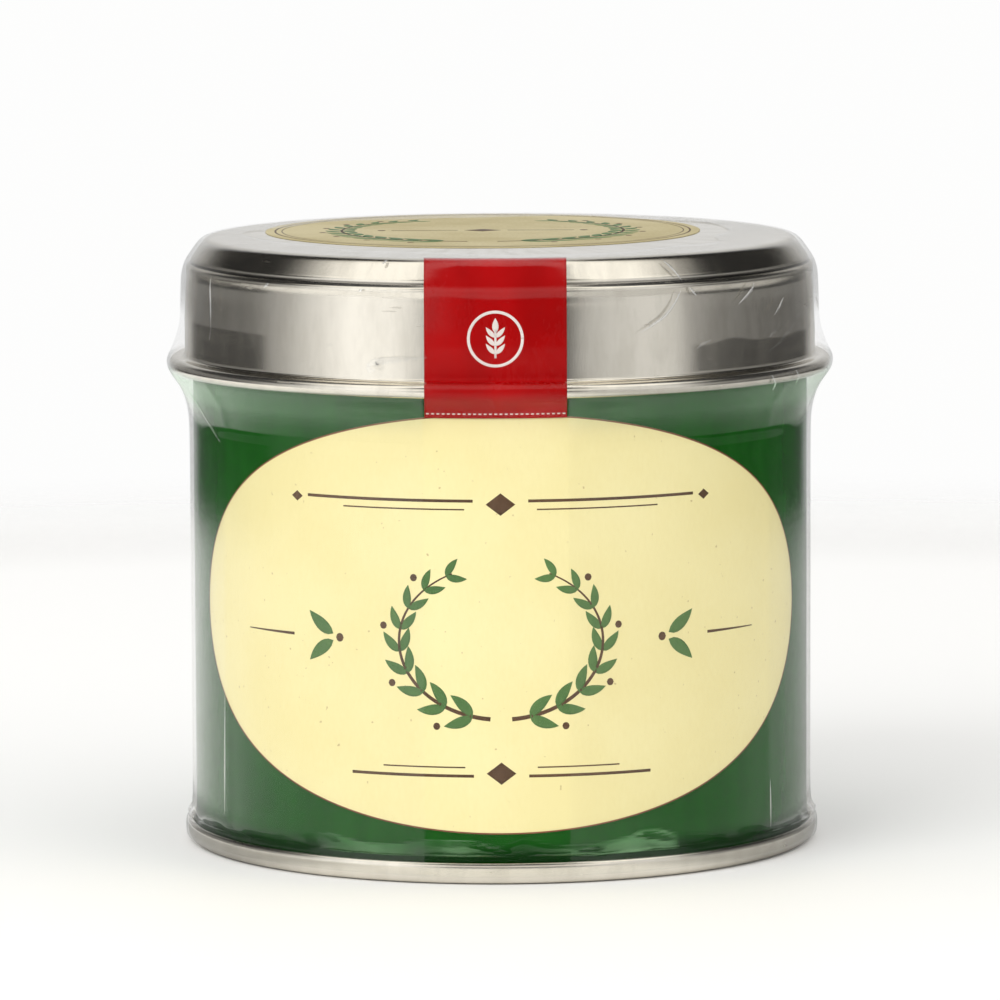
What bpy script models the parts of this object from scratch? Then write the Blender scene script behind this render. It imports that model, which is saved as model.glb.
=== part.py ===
"""A sealed round spice tin: a lacquered can with a bare slip lid, paper labels, a seal strip
and a shrunk film over everything, with whole long pepper fruits inside.

Metres, +Z up, origin at the centre of the base. The front of the tin faces -Y.
"""

import math
import random

import bmesh
import bpy

MM = 0.001

# Facets round every turned piece. They share one angular grid, so that thin layers stay clear.
SIDES = 72
STEP = 2 * math.pi / SIDES
MERGE_DISTANCE = 0.001 * MM

# Can wall
WALL_RADIUS = 36.75 * MM
WALL_THICKNESS = 0.35 * MM
WALL_TOP = 67.3 * MM
RIM_RADIUS = 36.9 * MM
RIM_HEIGHT = 68.1 * MM
RIM_CURL = 0.42 * MM
FLANGE_RADIUS = 37.1 * MM
FLANGE_BOTTOM = 0.6 * MM

# Base end and its double seam
SEAM_RADIUS = 37.8 * MM
SEAM_HEIGHT = 2.62 * MM
SEAM_THROAT = 36.9 * MM
CHANNEL_RADIUS = 37.25 * MM
CHANNEL_BOTTOM = 0.45 * MM
CHUCK_RADIUS = 36.2 * MM
END_THICKNESS = 0.35 * MM
END_TURN = 0.3 * MM  # the size of each turned edge of the base end
PANEL_HEIGHT = 3.5 * MM
PANEL_STEP_RADIUS = 24.0 * MM
PANEL_STEP_WIDTH = 1.0 * MM
PANEL_STEP = 0.4 * MM

# Slip lid
LID_TOP = 72.08 * MM
LID_FLAT_RADIUS = 34.9 * MM
SHOULDER_TOP = (35.45 * MM, 71.78 * MM)
SHOULDER_FOOT = (37.0 * MM, 69.76 * MM)
GROOVE = (36.9 * MM, 69.49 * MM)
SKIRT_TURN = ((37.3 * MM, 69.24 * MM), (37.65 * MM, 68.63 * MM))
SKIRT_RADIUS = 37.8 * MM
SKIRT_TOP = 67.87 * MM
SKIRT_FOOT = 58.96 * MM
LID_THICKNESS = 0.35 * MM
BEAD_RADIUS = 38.7 * MM
BEAD_HEIGHT = 57.39 * MM
BEAD_CURL = 0.9 * MM

# Paper labels
PAPER_THICKNESS = 0.12 * MM
PAPER_GAP = 0.05 * MM
OVAL_HEIGHT = 30.24 * MM
OVAL_HALF_HEIGHT = 24.46 * MM
OVAL_HALF_ANGLE = math.radians(69)
OVAL_COLUMNS = 20
ROUND_LABEL_RADIUS = 26.2 * MM
ROUND_LABEL_PLACE = (-2.0 * MM, 7.0 * MM)
ROUND_LABEL_SIDES = 56

# Seal strip
SEAL_CENTRE = -0.5 * MM
SEAL_HALF_WIDTH = 8.2 * MM
SEAL_THICKNESS = 0.12 * MM
SEAL_GAP = 0.04 * MM
SEAL_REACH = 34.2 * MM
SEAL_FOOT = 54.2 * MM
SEAL_FOOT_RADIUS = 37.0 * MM
SEAL_FLAP = (0.15 * MM, 0.7 * MM)  # how far the strip's last bend stands out, and how high

# Shrunk film
FILM_THICKNESS = 0.2 * MM
FILM_TOP = 72.5 * MM
FILM_EDGE_RADIUS = 28.5 * MM
FILM_EDGE_WAVES = ((3, 1.7 * MM, 0.7), (7, 0.85 * MM, 0.0), (11, 0.5 * MM, 2.0))
FILM_SHOULDER = ((35.5 * MM, FILM_TOP), (36.35 * MM, 71.75 * MM), (37.9 * MM, 69.3 * MM))
FILM_SKIRT_RADIUS = 38.27 * MM
FILM_SKIRT = (67.87 * MM, 61.6 * MM)
FILM_BEAD = ((39.2 * MM, 59.46 * MM), (39.95 * MM, 58.04 * MM), (40.05 * MM, 57.34 * MM))
FILM_BRIDGE = ((39.75 * MM, 56.64 * MM), (38.3 * MM, 54.8 * MM), (37.6 * MM, 52.98 * MM))
FILM_WALL_RADIUS = 37.32 * MM
FILM_WALL = (51.05 * MM, 4.6 * MM)
FILM_SEAM = ((38.04 * MM, 3.0 * MM), (38.12 * MM, 2.3 * MM), (38.1 * MM, 0.7 * MM))

# Long pepper fruits, lying loose in layers on the base
FRUIT_LENGTH = 36.0 * MM
FRUIT_RADIUS = 2.7 * MM
FRUIT_SHOULDER = 0.72  # the spike's thickness where it leaves the stalk, as a share
FRUIT_SWELL = 2.4  # how soon it swells to its full thickness
FRUIT_TIP_RADIUS = 1.4 * MM
STALK_RADIUS = 0.6 * MM
STALK_ROWS = 2
STALK_SHARE = 0.14
BERRY_RELIEF = 0.14
BERRIES_ROUND = 10
BERRY_ROWS = 13
BERRY_TURN = 0.25  # where the first column of berries starts, in columns
LAYERS = 3
MOST_IN_LAYER = 7
LAYER_PITCH = 6.35 * MM
LAYER_TURN = math.radians(68)
LAYER_LIFT = 3.2 * MM  # from the panel to the middle of the first layer
FIRST_LAYER = PANEL_HEIGHT + PANEL_STEP + LAYER_LIFT
PILE_RADIUS = 32.3 * MM
FRUIT_SPACING = 7.7 * MM
FRUIT_TURN = 0.45
SHORTEST_FRUIT = 0.86
LEAST_CROSSING = 0.2  # the sine of the least angle at which one fruit crosses another
PLACING_SEED = 10
MOST_TRIES = 8000

COLOURS = {
    "tinplate": ((0.62, 0.61, 0.57), 1.0, 0.28),
    "green lacquer": ((0.055, 0.145, 0.045), 0.0, 0.3),
    "cream paper": ((0.97, 0.87, 0.48), 0.0, 0.75),
    "grey cream paper": ((0.68, 0.6, 0.38), 0.0, 0.75),
    "red seal": ((0.42, 0.006, 0.01), 0.0, 0.25),
    "clear film": ((0.95, 0.96, 0.95), 0.0, 0.12),
    "dried fruit": ((0.13, 0.032, 0.016), 0.0, 0.85),
}


def clear_scene():
    """Removes the startup objects."""
    for obj in list(bpy.data.objects):
        bpy.data.objects.remove(obj, do_unlink=True)


def finish(name):
    """A Principled material from the colour table, made once."""
    if name in bpy.data.materials:
        return bpy.data.materials[name]
    colour, metallic, roughness = COLOURS[name]
    material = bpy.data.materials.new(name)
    material.use_nodes = True
    shader = material.node_tree.nodes["Principled BSDF"]
    shader.inputs["Base Color"].default_value = (*colour, 1)
    shader.inputs["Metallic"].default_value = metallic
    shader.inputs["Roughness"].default_value = roughness
    if name == "clear film":
        shader.inputs["Alpha"].default_value = 0.25
    return material


def mesh_from(shape, name):
    """Turns a bmesh into a mesh with its round faces smooth."""
    mesh = bpy.data.meshes.new(name)
    shape.to_mesh(mesh)
    shape.free()
    mesh.shade_smooth()
    mesh.set_sharp_from_angle(angle=math.radians(35))
    return mesh


def add_object(name, mesh, material, parent):
    """Puts a mesh into the scene as a named piece of the tin."""
    if not mesh.materials:
        mesh.materials.append(finish(material))
    obj = bpy.data.objects.new(name, mesh)
    obj.parent = parent
    bpy.context.scene.collection.objects.link(obj)
    return obj


def arc(centre, radius, start, end, steps):
    """Points round a centre in the radius-height plane, from start to end degrees."""
    angles = [math.radians(start + (end - start) * i / steps) for i in range(steps + 1)]
    return [(centre[0] + radius * math.cos(a), centre[1] + radius * math.sin(a)) for a in angles]


def offset(path, distance):
    """The path moved sideways by a distance, to the left of its direction if positive."""
    moved = []
    for i, (r, z) in enumerate(path):
        before = path[max(i - 1, 0)]
        after = path[min(i + 1, len(path) - 1)]
        normals = []
        for a, b in ((before, (r, z)), ((r, z), after)):
            length = math.hypot(b[0] - a[0], b[1] - a[1])
            if length:
                normals.append((-(b[1] - a[1]) / length, (b[0] - a[0]) / length))
        normal = [sum(n[k] for n in normals) / len(normals) for k in (0, 1)]
        square = normal[0] ** 2 + normal[1] ** 2
        moved.append((r + distance * normal[0] / square, z + distance * normal[1] / square))
    return moved


def turned(outline, closed):
    """Spins an outline of (radius, height) points round the Z axis."""
    shape = bmesh.new()
    corners = [shape.verts.new((r, 0, z)) for r, z in outline]
    ends = corners[1:] + corners[:1] if closed else corners[1:]
    edges = [shape.edges.new(pair) for pair in zip(corners, ends)]
    bmesh.ops.spin(
        shape,
        geom=corners + edges,
        cent=(0, 0, 0),
        axis=(0, 0, 1),
        angle=2 * math.pi,
        steps=SIDES,
        use_merge=True,
    )
    bmesh.ops.remove_doubles(shape, verts=shape.verts, dist=MERGE_DISTANCE)
    bmesh.ops.recalc_face_normals(shape, faces=shape.faces)
    return shape


def chord_radius(radius, angle):
    """How far out a facet of a turned piece lies at an angle."""
    part = angle % STEP
    return radius * math.cos(STEP / 2) / math.cos(part - STEP / 2)


def front_depth(radius, x):
    """The Y of a turned piece's front facets at a given X."""
    k = math.floor(math.asin(x / radius) / STEP)
    low, high = (radius * math.sin(j * STEP) for j in (k, k + 1))
    near, far = (radius * math.cos(j * STEP) for j in (k, k + 1))
    return -(near + (far - near) * (x - low) / (high - low))


def slab(columns_under, columns_over):
    """A closed slab from two grids of points, each a list of columns of the same length."""
    shape = bmesh.new()
    under = [[shape.verts.new(point) for point in column] for column in columns_under]
    over = [[shape.verts.new(point) for point in column] for column in columns_over]
    for grid in (under, over):
        for left, right in zip(grid, grid[1:]):
            for i in range(len(left) - 1):
                shape.faces.new((left[i], left[i + 1], right[i + 1], right[i]))
    for lower, upper in ((under[0], over[0]), (under[-1], over[-1])):
        for i in range(len(lower) - 1):
            shape.faces.new((lower[i], lower[i + 1], upper[i + 1], upper[i]))
    for row in (0, -1):
        for i in range(len(under) - 1):
            corners = (under[i], under[i + 1], over[i + 1], over[i])
            shape.faces.new([column[row] for column in corners])
    bmesh.ops.recalc_face_normals(shape, faces=shape.faces)
    return shape


def can_body():
    """The can wall, with its curled rim at the top and its flange in the seam."""
    inside = WALL_RADIUS - WALL_THICKNESS
    rim = arc((RIM_RADIUS, RIM_HEIGHT), RIM_CURL, -60, 180, 5)
    flange_top = FLANGE_BOTTOM + WALL_THICKNESS
    foot = [
        (inside, WALL_TOP),
        (inside, FLANGE_BOTTOM),
        (FLANGE_RADIUS, FLANGE_BOTTOM),
        (FLANGE_RADIUS, flange_top),
        (WALL_RADIUS, flange_top + FLANGE_RADIUS - WALL_RADIUS),
        (WALL_RADIUS, WALL_TOP),
    ]
    return turned(rim + foot, closed=True)


def base_end():
    """The can's bottom: a stepped panel, a chuck wall and the double seam round the flange."""
    chuck_inside = CHUCK_RADIUS - END_THICKNESS
    under = PANEL_HEIGHT - END_THICKNESS
    throat_foot = SEAM_HEIGHT - 2 * END_TURN
    panel_over = [
        (0, PANEL_HEIGHT + PANEL_STEP),
        (PANEL_STEP_RADIUS, PANEL_HEIGHT + PANEL_STEP),
        (PANEL_STEP_RADIUS + PANEL_STEP_WIDTH, PANEL_HEIGHT),
        (CHUCK_RADIUS - END_TURN, PANEL_HEIGHT),
    ]
    channel = [
        (CHUCK_RADIUS, PANEL_HEIGHT - END_TURN),
        (CHUCK_RADIUS, CHANNEL_BOTTOM),
        (CHANNEL_RADIUS, CHANNEL_BOTTOM),
        (CHANNEL_RADIUS, throat_foot),
        (SEAM_THROAT, SEAM_HEIGHT - END_TURN / 2),
    ]
    seam = [
        (SEAM_THROAT + END_TURN, SEAM_HEIGHT),
        (SEAM_RADIUS - END_TURN, SEAM_HEIGHT),
        (SEAM_RADIUS, SEAM_HEIGHT - END_TURN),
        (SEAM_RADIUS, END_TURN),
        (SEAM_RADIUS - END_TURN, 0),
        (chuck_inside + END_TURN, 0),
        (chuck_inside, END_TURN),
    ]
    panel_under = [
        (chuck_inside, under - END_TURN),
        (chuck_inside - END_TURN, under),
        (PANEL_STEP_RADIUS + PANEL_STEP_WIDTH, under),
        (PANEL_STEP_RADIUS, under + PANEL_STEP),
        (0, under + PANEL_STEP),
    ]
    return turned(panel_over + channel + seam + panel_under, closed=False)


def lid_outside():
    """The lid's outer outline from the top panel down to the foot of the skirt."""
    return [
        (LID_FLAT_RADIUS, LID_TOP),
        SHOULDER_TOP,
        SHOULDER_FOOT,
        GROOVE,
        *SKIRT_TURN,
        (SKIRT_RADIUS, SKIRT_TOP),
        (SKIRT_RADIUS, SKIRT_FOOT),
    ]


def bead():
    """The rolled bead's outline, from its top round its outer side to its underside."""
    return arc((BEAD_RADIUS, BEAD_HEIGHT), BEAD_CURL, 120, -120, 6)


def lid():
    """The slip lid: a flat panel, a sloping shoulder, a groove, a skirt and a rolled bead."""
    outside = [point for point in lid_outside() if point != GROOVE]
    inside = offset(outside, -LID_THICKNESS)
    inside[-1] = (SKIRT_RADIUS - LID_THICKNESS, BEAD_HEIGHT - BEAD_CURL / 2)
    centre = [(0, LID_TOP)]
    hollow = inside[::-1] + [(0, LID_TOP - LID_THICKNESS)]
    return turned(centre + lid_outside() + bead() + hollow, closed=False)


def front_label():
    """The oval paper label, bent round the front of the can wall."""
    shares = [math.sin(math.pi * (i / OVAL_COLUMNS - 0.5)) for i in range(1, OVAL_COLUMNS)]
    last = math.floor(OVAL_HALF_ANGLE / STEP)
    angles = [OVAL_HALF_ANGLE * share for share in shares] + [k * STEP for k in range(-last, last + 1)]
    angles = sorted({round(angle, 4) for angle in angles})
    grids = []
    for radius in (WALL_RADIUS + PAPER_GAP, WALL_RADIUS + PAPER_GAP + PAPER_THICKNESS):
        columns = []
        for angle in angles:
            half = OVAL_HALF_HEIGHT * math.sqrt(1 - (angle / OVAL_HALF_ANGLE) ** 2)
            out = chord_radius(radius, angle)
            x, y = out * math.sin(angle), -out * math.cos(angle)
            columns.append([(x, y, OVAL_HEIGHT - half), (x, y, OVAL_HEIGHT + half)])
        grids.append(columns)
    return slab(*grids)


def lid_label():
    """The round paper label on the lid's flat panel."""
    shape = bmesh.new()
    bmesh.ops.create_circle(shape, cap_ends=True, segments=ROUND_LABEL_SIDES, radius=ROUND_LABEL_RADIUS)
    height = LID_TOP + PAPER_GAP
    bmesh.ops.translate(shape, verts=shape.verts, vec=(*ROUND_LABEL_PLACE, height))
    raised = bmesh.ops.extrude_face_region(shape, geom=shape.faces[:])["geom"]
    top = [item for item in raised if isinstance(item, bmesh.types.BMVert)]
    bmesh.ops.translate(shape, verts=top, vec=(0, 0, PAPER_THICKNESS))
    bmesh.ops.recalc_face_normals(shape, faces=shape.faces)
    return shape


def seal_strip():
    """The seal: one strip over the lid's edge, skirt and bead, and down to the can wall."""
    over_lid = [point for point in lid_outside() if point != GROOVE]
    route = [(SEAL_REACH, LID_TOP)] + over_lid + bead()[:5]
    bend = (SEAL_FOOT_RADIUS + SEAL_FLAP[0], SEAL_FOOT + SEAL_FLAP[1])
    foot = [bend, (SEAL_FOOT_RADIUS, SEAL_FOOT)]
    under_path = offset(route, SEAL_GAP) + foot
    over_path = offset(under_path, SEAL_THICKNESS)
    left, right = SEAL_CENTRE - SEAL_HALF_WIDTH, SEAL_CENTRE + SEAL_HALF_WIDTH
    grids = []
    for path in (under_path, over_path):
        columns = []
        for k in (None, -2, -1, 0, 1, 2, None):
            edge = right if columns else left
            places = [edge if k is None else radius * math.sin(k * STEP) for radius, _ in path]
            columns.append([(x, front_depth(r, x), z) for x, (r, z) in zip(places, path)])
        grids.append(columns)
    return slab(*grids)


def film_outside():
    """The film's outer outline, from its edge on the lid's top to its edge on the seam."""
    return [
        (FILM_EDGE_RADIUS, FILM_TOP),
        *FILM_SHOULDER,
        *[(FILM_SKIRT_RADIUS, height) for height in FILM_SKIRT],
        *FILM_BEAD,
        *FILM_BRIDGE,
        *[(FILM_WALL_RADIUS, height) for height in FILM_WALL],
        *FILM_SEAM,
    ]


def shrink_film():
    """The film: one thin skin that bridges the hollows, with a waved edge on the lid's top."""
    outside = film_outside()
    inside = offset(outside, -FILM_THICKNESS)
    shape = turned(outside + inside[::-1], closed=True)
    for vertex in shape.verts:
        x, y, z = vertex.co
        if math.hypot(x, y) > FILM_EDGE_RADIUS + MM or z < SHOULDER_TOP[1]:
            continue
        angle = math.atan2(y, x)
        wave = sum(height * math.sin(count * angle + turn) for count, height, turn in FILM_EDGE_WAVES)
        vertex.co.xy *= 1 + wave / FILM_EDGE_RADIUS
    return shape


def spike_radius(row, raised):
    """The spike's radius at a berry row, on a berry's top or in the hollow beside it."""
    body = (row - STALK_ROWS) / (BERRY_ROWS - STALK_ROWS)
    taper = FRUIT_RADIUS + (FRUIT_TIP_RADIUS - FRUIT_RADIUS) * body**3
    relief = 1 + BERRY_RELIEF if raised else 1 - BERRY_RELIEF
    return taper * relief * min(1, FRUIT_SHOULDER + FRUIT_SWELL * body)


def fruit():
    """One long pepper: a spike of berries in offset rows, with a stub of stalk at its broad end."""
    shape = bmesh.new()
    bmesh.ops.create_uvsphere(shape, u_segments=BERRIES_ROUND, v_segments=BERRY_ROWS, radius=1)
    berries = set()
    for vertex in shape.verts:
        row = round(math.acos(max(-1, min(1, vertex.co.z))) / math.pi * BERRY_ROWS)
        angle = math.atan2(vertex.co.y, vertex.co.x)
        if row in (0, BERRY_ROWS):
            radius = 0
        elif row < STALK_ROWS:
            radius = STALK_RADIUS
        else:
            column = math.floor(angle / (2 * math.pi) * BERRIES_ROUND + BERRY_TURN)
            raised = (row + column) % 2 == 0
            radius = spike_radius(row, raised)
            if raised:
                berries.add(vertex)
        along = STALK_SHARE * row / STALK_ROWS
        if row > STALK_ROWS:
            along = STALK_SHARE + (1 - STALK_SHARE) * (row - STALK_ROWS) / (BERRY_ROWS - STALK_ROWS)
        vertex.co.x = (0.5 - along) * FRUIT_LENGTH
        vertex.co.y = radius * math.cos(angle)
        vertex.co.z = radius * math.sin(angle)
    for face in list(shape.faces):
        hollows = [vertex for vertex in face.verts if vertex not in berries]
        if len(face.verts) == 4 and len(hollows) == 2:
            bmesh.utils.face_split(face, *hollows)
    return shape


def crossing(a, b):
    """Whether two lying fruits, each (x, y, turn, half length), cross in the plan."""
    ax, ay, a_turn, a_half = a
    bx, by, b_turn, b_half = b
    cross = math.sin(b_turn - a_turn)
    if abs(cross) < LEAST_CROSSING:
        return False
    dx, dy = bx - ax, by - ay
    on_a = (dx * math.sin(b_turn) - dy * math.cos(b_turn)) / cross
    on_b = (dx * math.sin(a_turn) - dy * math.cos(a_turn)) / cross
    return abs(on_a) < a_half and abs(on_b) < b_half


def spine(fruit_place, samples=9):
    """Points along a lying fruit's middle."""
    x, y, turn, half = fruit_place
    shares = [2 * i / (samples - 1) - 1 for i in range(samples)]
    return [(x + s * half * math.cos(turn), y + s * half * math.sin(turn)) for s in shares]


def clear_of(place, others):
    """Whether a fruit stays clear of others in its layer."""
    for other in others:
        for x, y in spine(place):
            if any(math.hypot(x - u, y - v) < FRUIT_SPACING for u, v in spine(other)):
                return False
    return True


def laid_fruits():
    """Places for every fruit: each lies flat in its layer, across two or more of the layer below."""
    draw = random.Random(PLACING_SEED)
    layers = []
    for layer in range(LAYERS):
        below = layers[-1] if layers else None
        places = []
        tries = 0
        while len(places) < MOST_IN_LAYER and tries < MOST_TRIES:
            tries += 1
            turn = layer * LAYER_TURN + draw.uniform(-FRUIT_TURN, FRUIT_TURN)
            half = 0.5 * FRUIT_LENGTH * draw.uniform(SHORTEST_FRUIT, 1.0)
            x, y = (draw.uniform(-PILE_RADIUS, PILE_RADIUS) for _ in range(2))
            place = (x, y, turn, half)
            if any(math.hypot(u, v) > PILE_RADIUS for u, v in spine(place)):
                continue
            if below and sum(crossing(place, other) for other in below) < 2:
                continue
            if clear_of(place, places):
                places.append(place)
        layers.append(places)
    return layers


def place_fruits(parent):
    """Lays the fruits in the tin, each its own object on one shared mesh."""
    mesh = mesh_from(fruit(), "long pepper")
    number = 0
    for layer, places in enumerate(laid_fruits()):
        for x, y, turn, half in places:
            number += 1
            obj = add_object(f"long_pepper_{number:02d}", mesh, "dried fruit", parent)
            obj.location = (x, y, FIRST_LAYER + layer * LAYER_PITCH)
            obj.rotation_euler = (0, 0, turn + (math.pi if number % 2 else 0))
            obj.scale = (2 * half / FRUIT_LENGTH, 1, 1)


PIECES = (
    ("base_end", base_end, "tinplate"),
    ("can_body", can_body, "green lacquer"),
    ("lid", lid, "tinplate"),
    ("front_label", front_label, "cream paper"),
    ("lid_label", lid_label, "grey cream paper"),
    ("seal_strip", seal_strip, "red seal"),
    ("shrink_film", shrink_film, "clear film"),
)


def main():
    """Builds the tin."""
    clear_scene()
    tin = bpy.data.objects.new("spice_tin", None)
    bpy.context.scene.collection.objects.link(tin)
    for name, build, material in PIECES:
        add_object(name, mesh_from(build(), name), material, tin)
    place_fruits(tin)


main()
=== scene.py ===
"""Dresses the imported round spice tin: sheet metal, lacquer, paper labels, seal, clear film and a plain studio."""
import logging
import math
from collections.abc import Callable, Sequence
from dataclasses import dataclass, field
from enum import Enum

import bmesh
import bpy
import numpy as np
from mathutils import Matrix, Vector


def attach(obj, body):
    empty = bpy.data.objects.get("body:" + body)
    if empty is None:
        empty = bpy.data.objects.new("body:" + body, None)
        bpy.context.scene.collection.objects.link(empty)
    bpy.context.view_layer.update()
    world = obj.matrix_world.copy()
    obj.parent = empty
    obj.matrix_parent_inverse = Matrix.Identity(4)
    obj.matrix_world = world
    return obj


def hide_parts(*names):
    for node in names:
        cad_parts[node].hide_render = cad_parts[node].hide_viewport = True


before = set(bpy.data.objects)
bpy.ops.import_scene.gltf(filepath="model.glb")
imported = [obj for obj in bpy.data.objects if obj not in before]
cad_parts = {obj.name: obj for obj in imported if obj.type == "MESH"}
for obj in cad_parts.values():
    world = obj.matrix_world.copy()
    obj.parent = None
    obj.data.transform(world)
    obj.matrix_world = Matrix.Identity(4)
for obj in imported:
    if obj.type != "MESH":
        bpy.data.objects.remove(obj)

LOG = logging.getLogger("spice_tin")
MM = 0.001
BODY = "root"
ROUND = 320
RNG_SEED = 7

Colour = tuple[float, float, float]
Path = list[tuple[float, float]]
Place = Callable[[np.ndarray, np.ndarray, np.ndarray], np.ndarray]


class Slot(Enum):
    """Material slots."""

    BASE = "base_tinplate"
    BODY = "green_lacquer"
    LID = "lid_tinplate"
    LABEL = "label_paper"
    LID_LABEL = "lid_label_paper"
    SEAL = "red_seal"
    FILM = "clear_film"
    FRUIT = "dried_fruit"


# Outlines


def rounded(corners: Sequence[tuple[float, float, float]], steps: int = 7) -> Path:
    """Rounds the inner corners of an outline.

    Args:
        corners: Radius from the axis, height and corner rounding of each point, in millimetres.
        steps: Points on each rounding.

    Returns:
        The outline's points, ends kept.
    """
    path: Path = [corners[0][:2]]
    for before, corner, after in zip(corners, corners[1:], corners[2:]):
        here = np.array(corner[:2])
        back, ahead = np.array(before[:2]) - here, np.array(after[:2]) - here
        reach = min(corner[2], 0.49 * np.linalg.norm(back), 0.49 * np.linalg.norm(ahead))
        if reach < 1e-6:
            path.append(corner[:2])
            continue
        start = here + back / np.linalg.norm(back) * reach
        end = here + ahead / np.linalg.norm(ahead) * reach
        for step in range(steps):
            t = step / (steps - 1)
            point = (1 - t) ** 2 * start + 2 * t * (1 - t) * here + t * t * end
            path.append((float(point[0]), float(point[1])))
    path.append(corners[-1][:2])
    return path


def arc(centre: tuple[float, float], radius: float, start: float, end: float, steps: int) -> Path:
    """Points on an arc.

    Args:
        centre: Centre, as radius from the axis and height.
        radius: Arc radius.
        start: First angle, in degrees.
        end: Last angle, in degrees.
        steps: Number of points.

    Returns:
        The points from start to end.
    """
    turns = np.radians(np.linspace(start, end, steps))
    return [(centre[0] + radius * math.cos(a), centre[1] + radius * math.sin(a)) for a in turns]


def resampled(path: Path, spacing: float) -> np.ndarray:
    """Spreads points evenly along an outline.

    Args:
        path: The outline.
        spacing: Distance between points, in millimetres.

    Returns:
        An array of points, two numbers each.
    """
    points = np.array(path, float)
    steps = np.linalg.norm(np.diff(points, axis=0), axis=1)
    along = np.concatenate([[0.0], np.cumsum(steps)])
    wanted = np.linspace(0, along[-1], max(int(along[-1] / spacing), 2) + 1)
    return np.stack([np.interp(wanted, along, points[:, k]) for k in (0, 1)], axis=1)


def eased(points: np.ndarray, rounds: int) -> np.ndarray:
    """Softens an outline by averaging neighbours, ends kept.

    Args:
        points: The outline's points.
        rounds: How often the averaging is done.

    Returns:
        The softened points.
    """
    points = points.copy()
    for _ in range(rounds):
        points[1:-1] = 0.25 * points[:-2] + 0.5 * points[1:-1] + 0.25 * points[2:]
    return points


def thinned(points: np.ndarray, every: int) -> np.ndarray:
    """Drops most points from the level stretches of an outline.

    Args:
        points: The outline's points.
        every: One point in this many is kept there.

    Returns:
        The points that are left, ends kept.
    """
    level = np.abs(np.gradient(points[:, 1])) < 1e-6
    keep = ~level
    keep[np.flatnonzero(level)[::every]] = True
    keep[[0, -1]] = True
    return points[keep]


def normals(points: np.ndarray) -> np.ndarray:
    """Unit normals to the left of travel reversed, so they point outwards on a path that runs down the outside."""
    along = np.gradient(points, axis=0)
    along /= np.linalg.norm(along, axis=1, keepdims=True)
    return np.stack([-along[:, 1], along[:, 0]], axis=1)


def thick_loop(outside: np.ndarray, thickness: float) -> np.ndarray:
    """Closes an outside path into the section of a sheet.

    Args:
        outside: The outside path, running outwards from the axis and down.
        thickness: Sheet thickness, in millimetres.

    Returns:
        The section: the outside path, then the inside one back again.
    """
    inside = outside - normals(outside) * thickness
    inside[:, 0] = np.maximum(inside[:, 0], 0.0)
    return np.concatenate([outside, inside[::-1]])


# Meshes


def smooth(values: np.ndarray) -> np.ndarray:
    """Smoothstep of values from 0 to 1."""
    values = np.clip(values, 0, 1)
    return values * values * (3 - 2 * values)


def band(values: np.ndarray, low: float, high: float, soft: float) -> np.ndarray:
    """1 between low and high, falling to 0 over a distance of soft outside them."""
    return smooth((values - low + soft) / soft) * smooth((high + soft - values) / soft)


def ripple(angle: np.ndarray, count: int, low: int, high: int, seed: int) -> np.ndarray:
    """A smooth random wave round the tin.

    Args:
        angle: Angles, in radians.
        count: How many waves are added.
        low: Fewest crests.
        high: Most crests.
        seed: Seed of the random draw.

    Returns:
        Values of about -1 to 1.
    """
    draw = np.random.default_rng(seed)
    total = np.zeros_like(angle)
    for crests, phase in zip(draw.integers(low, high + 1, count), draw.uniform(0, 2 * math.pi, count)):
        total += np.sin(angle * crests + phase)
    return total / math.sqrt(count)


def finish_mesh(name: str, points: np.ndarray, faces: list[Sequence[int]]) -> bpy.types.Object:
    """Makes a smooth-shaded object with its faces turned outwards.

    Args:
        name: Piece name.
        points: Points in millimetres.
        faces: Point numbers of each face.

    Returns:
        The new object.
    """
    mesh = bpy.data.meshes.new(name)
    mesh.from_pydata((points * MM).tolist(), [], faces)
    work = bmesh.new()
    work.from_mesh(mesh)
    bmesh.ops.recalc_face_normals(work, faces=work.faces)
    work.to_mesh(mesh)
    work.free()
    mesh.polygons.foreach_set("use_smooth", np.ones(len(mesh.polygons), bool))
    piece = bpy.data.objects.new(name, mesh)
    bpy.context.scene.collection.objects.link(piece)
    return piece


def ring_mesh(name: str, grid: np.ndarray, capped: bool) -> bpy.types.Object:
    """Joins a grid that wraps round the axis into a closed solid.

    Args:
        name: Piece name.
        grid: Points by angle, then along the section, in millimetres.
        capped: Whether the section starts and ends on the axis; otherwise it is a closed loop.

    Returns:
        The new object.
    """
    turns, steps = grid.shape[:2]
    if not capped:
        index = np.arange(turns * steps).reshape(turns, steps)
        across = np.roll(index, -1, axis=1)
        quads = np.stack([index, np.roll(index, -1, axis=0), np.roll(across, -1, axis=0), across], axis=-1)
        return finish_mesh(name, grid.reshape(-1, 3), quads.reshape(-1, 4).tolist())
    inner = grid[:, 1:-1]
    index = np.arange(turns * (steps - 2)).reshape(turns, steps - 2)
    after = np.roll(index, -1, axis=0)
    quads = np.stack([index[:, :-1], after[:, :-1], after[:, 1:], index[:, 1:]], axis=-1)
    faces = quads.reshape(-1, 4).tolist()
    first, last = index.size, index.size + 1
    faces += [[first, int(b), int(a)] for a, b in zip(index[:, 0], after[:, 0])]
    faces += [[last, int(a), int(b)] for a, b in zip(index[:, -1], after[:, -1])]
    points = np.concatenate([inner.reshape(-1, 3), grid[:1, 0], grid[:1, -1]])
    return finish_mesh(name, points, faces)


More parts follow.
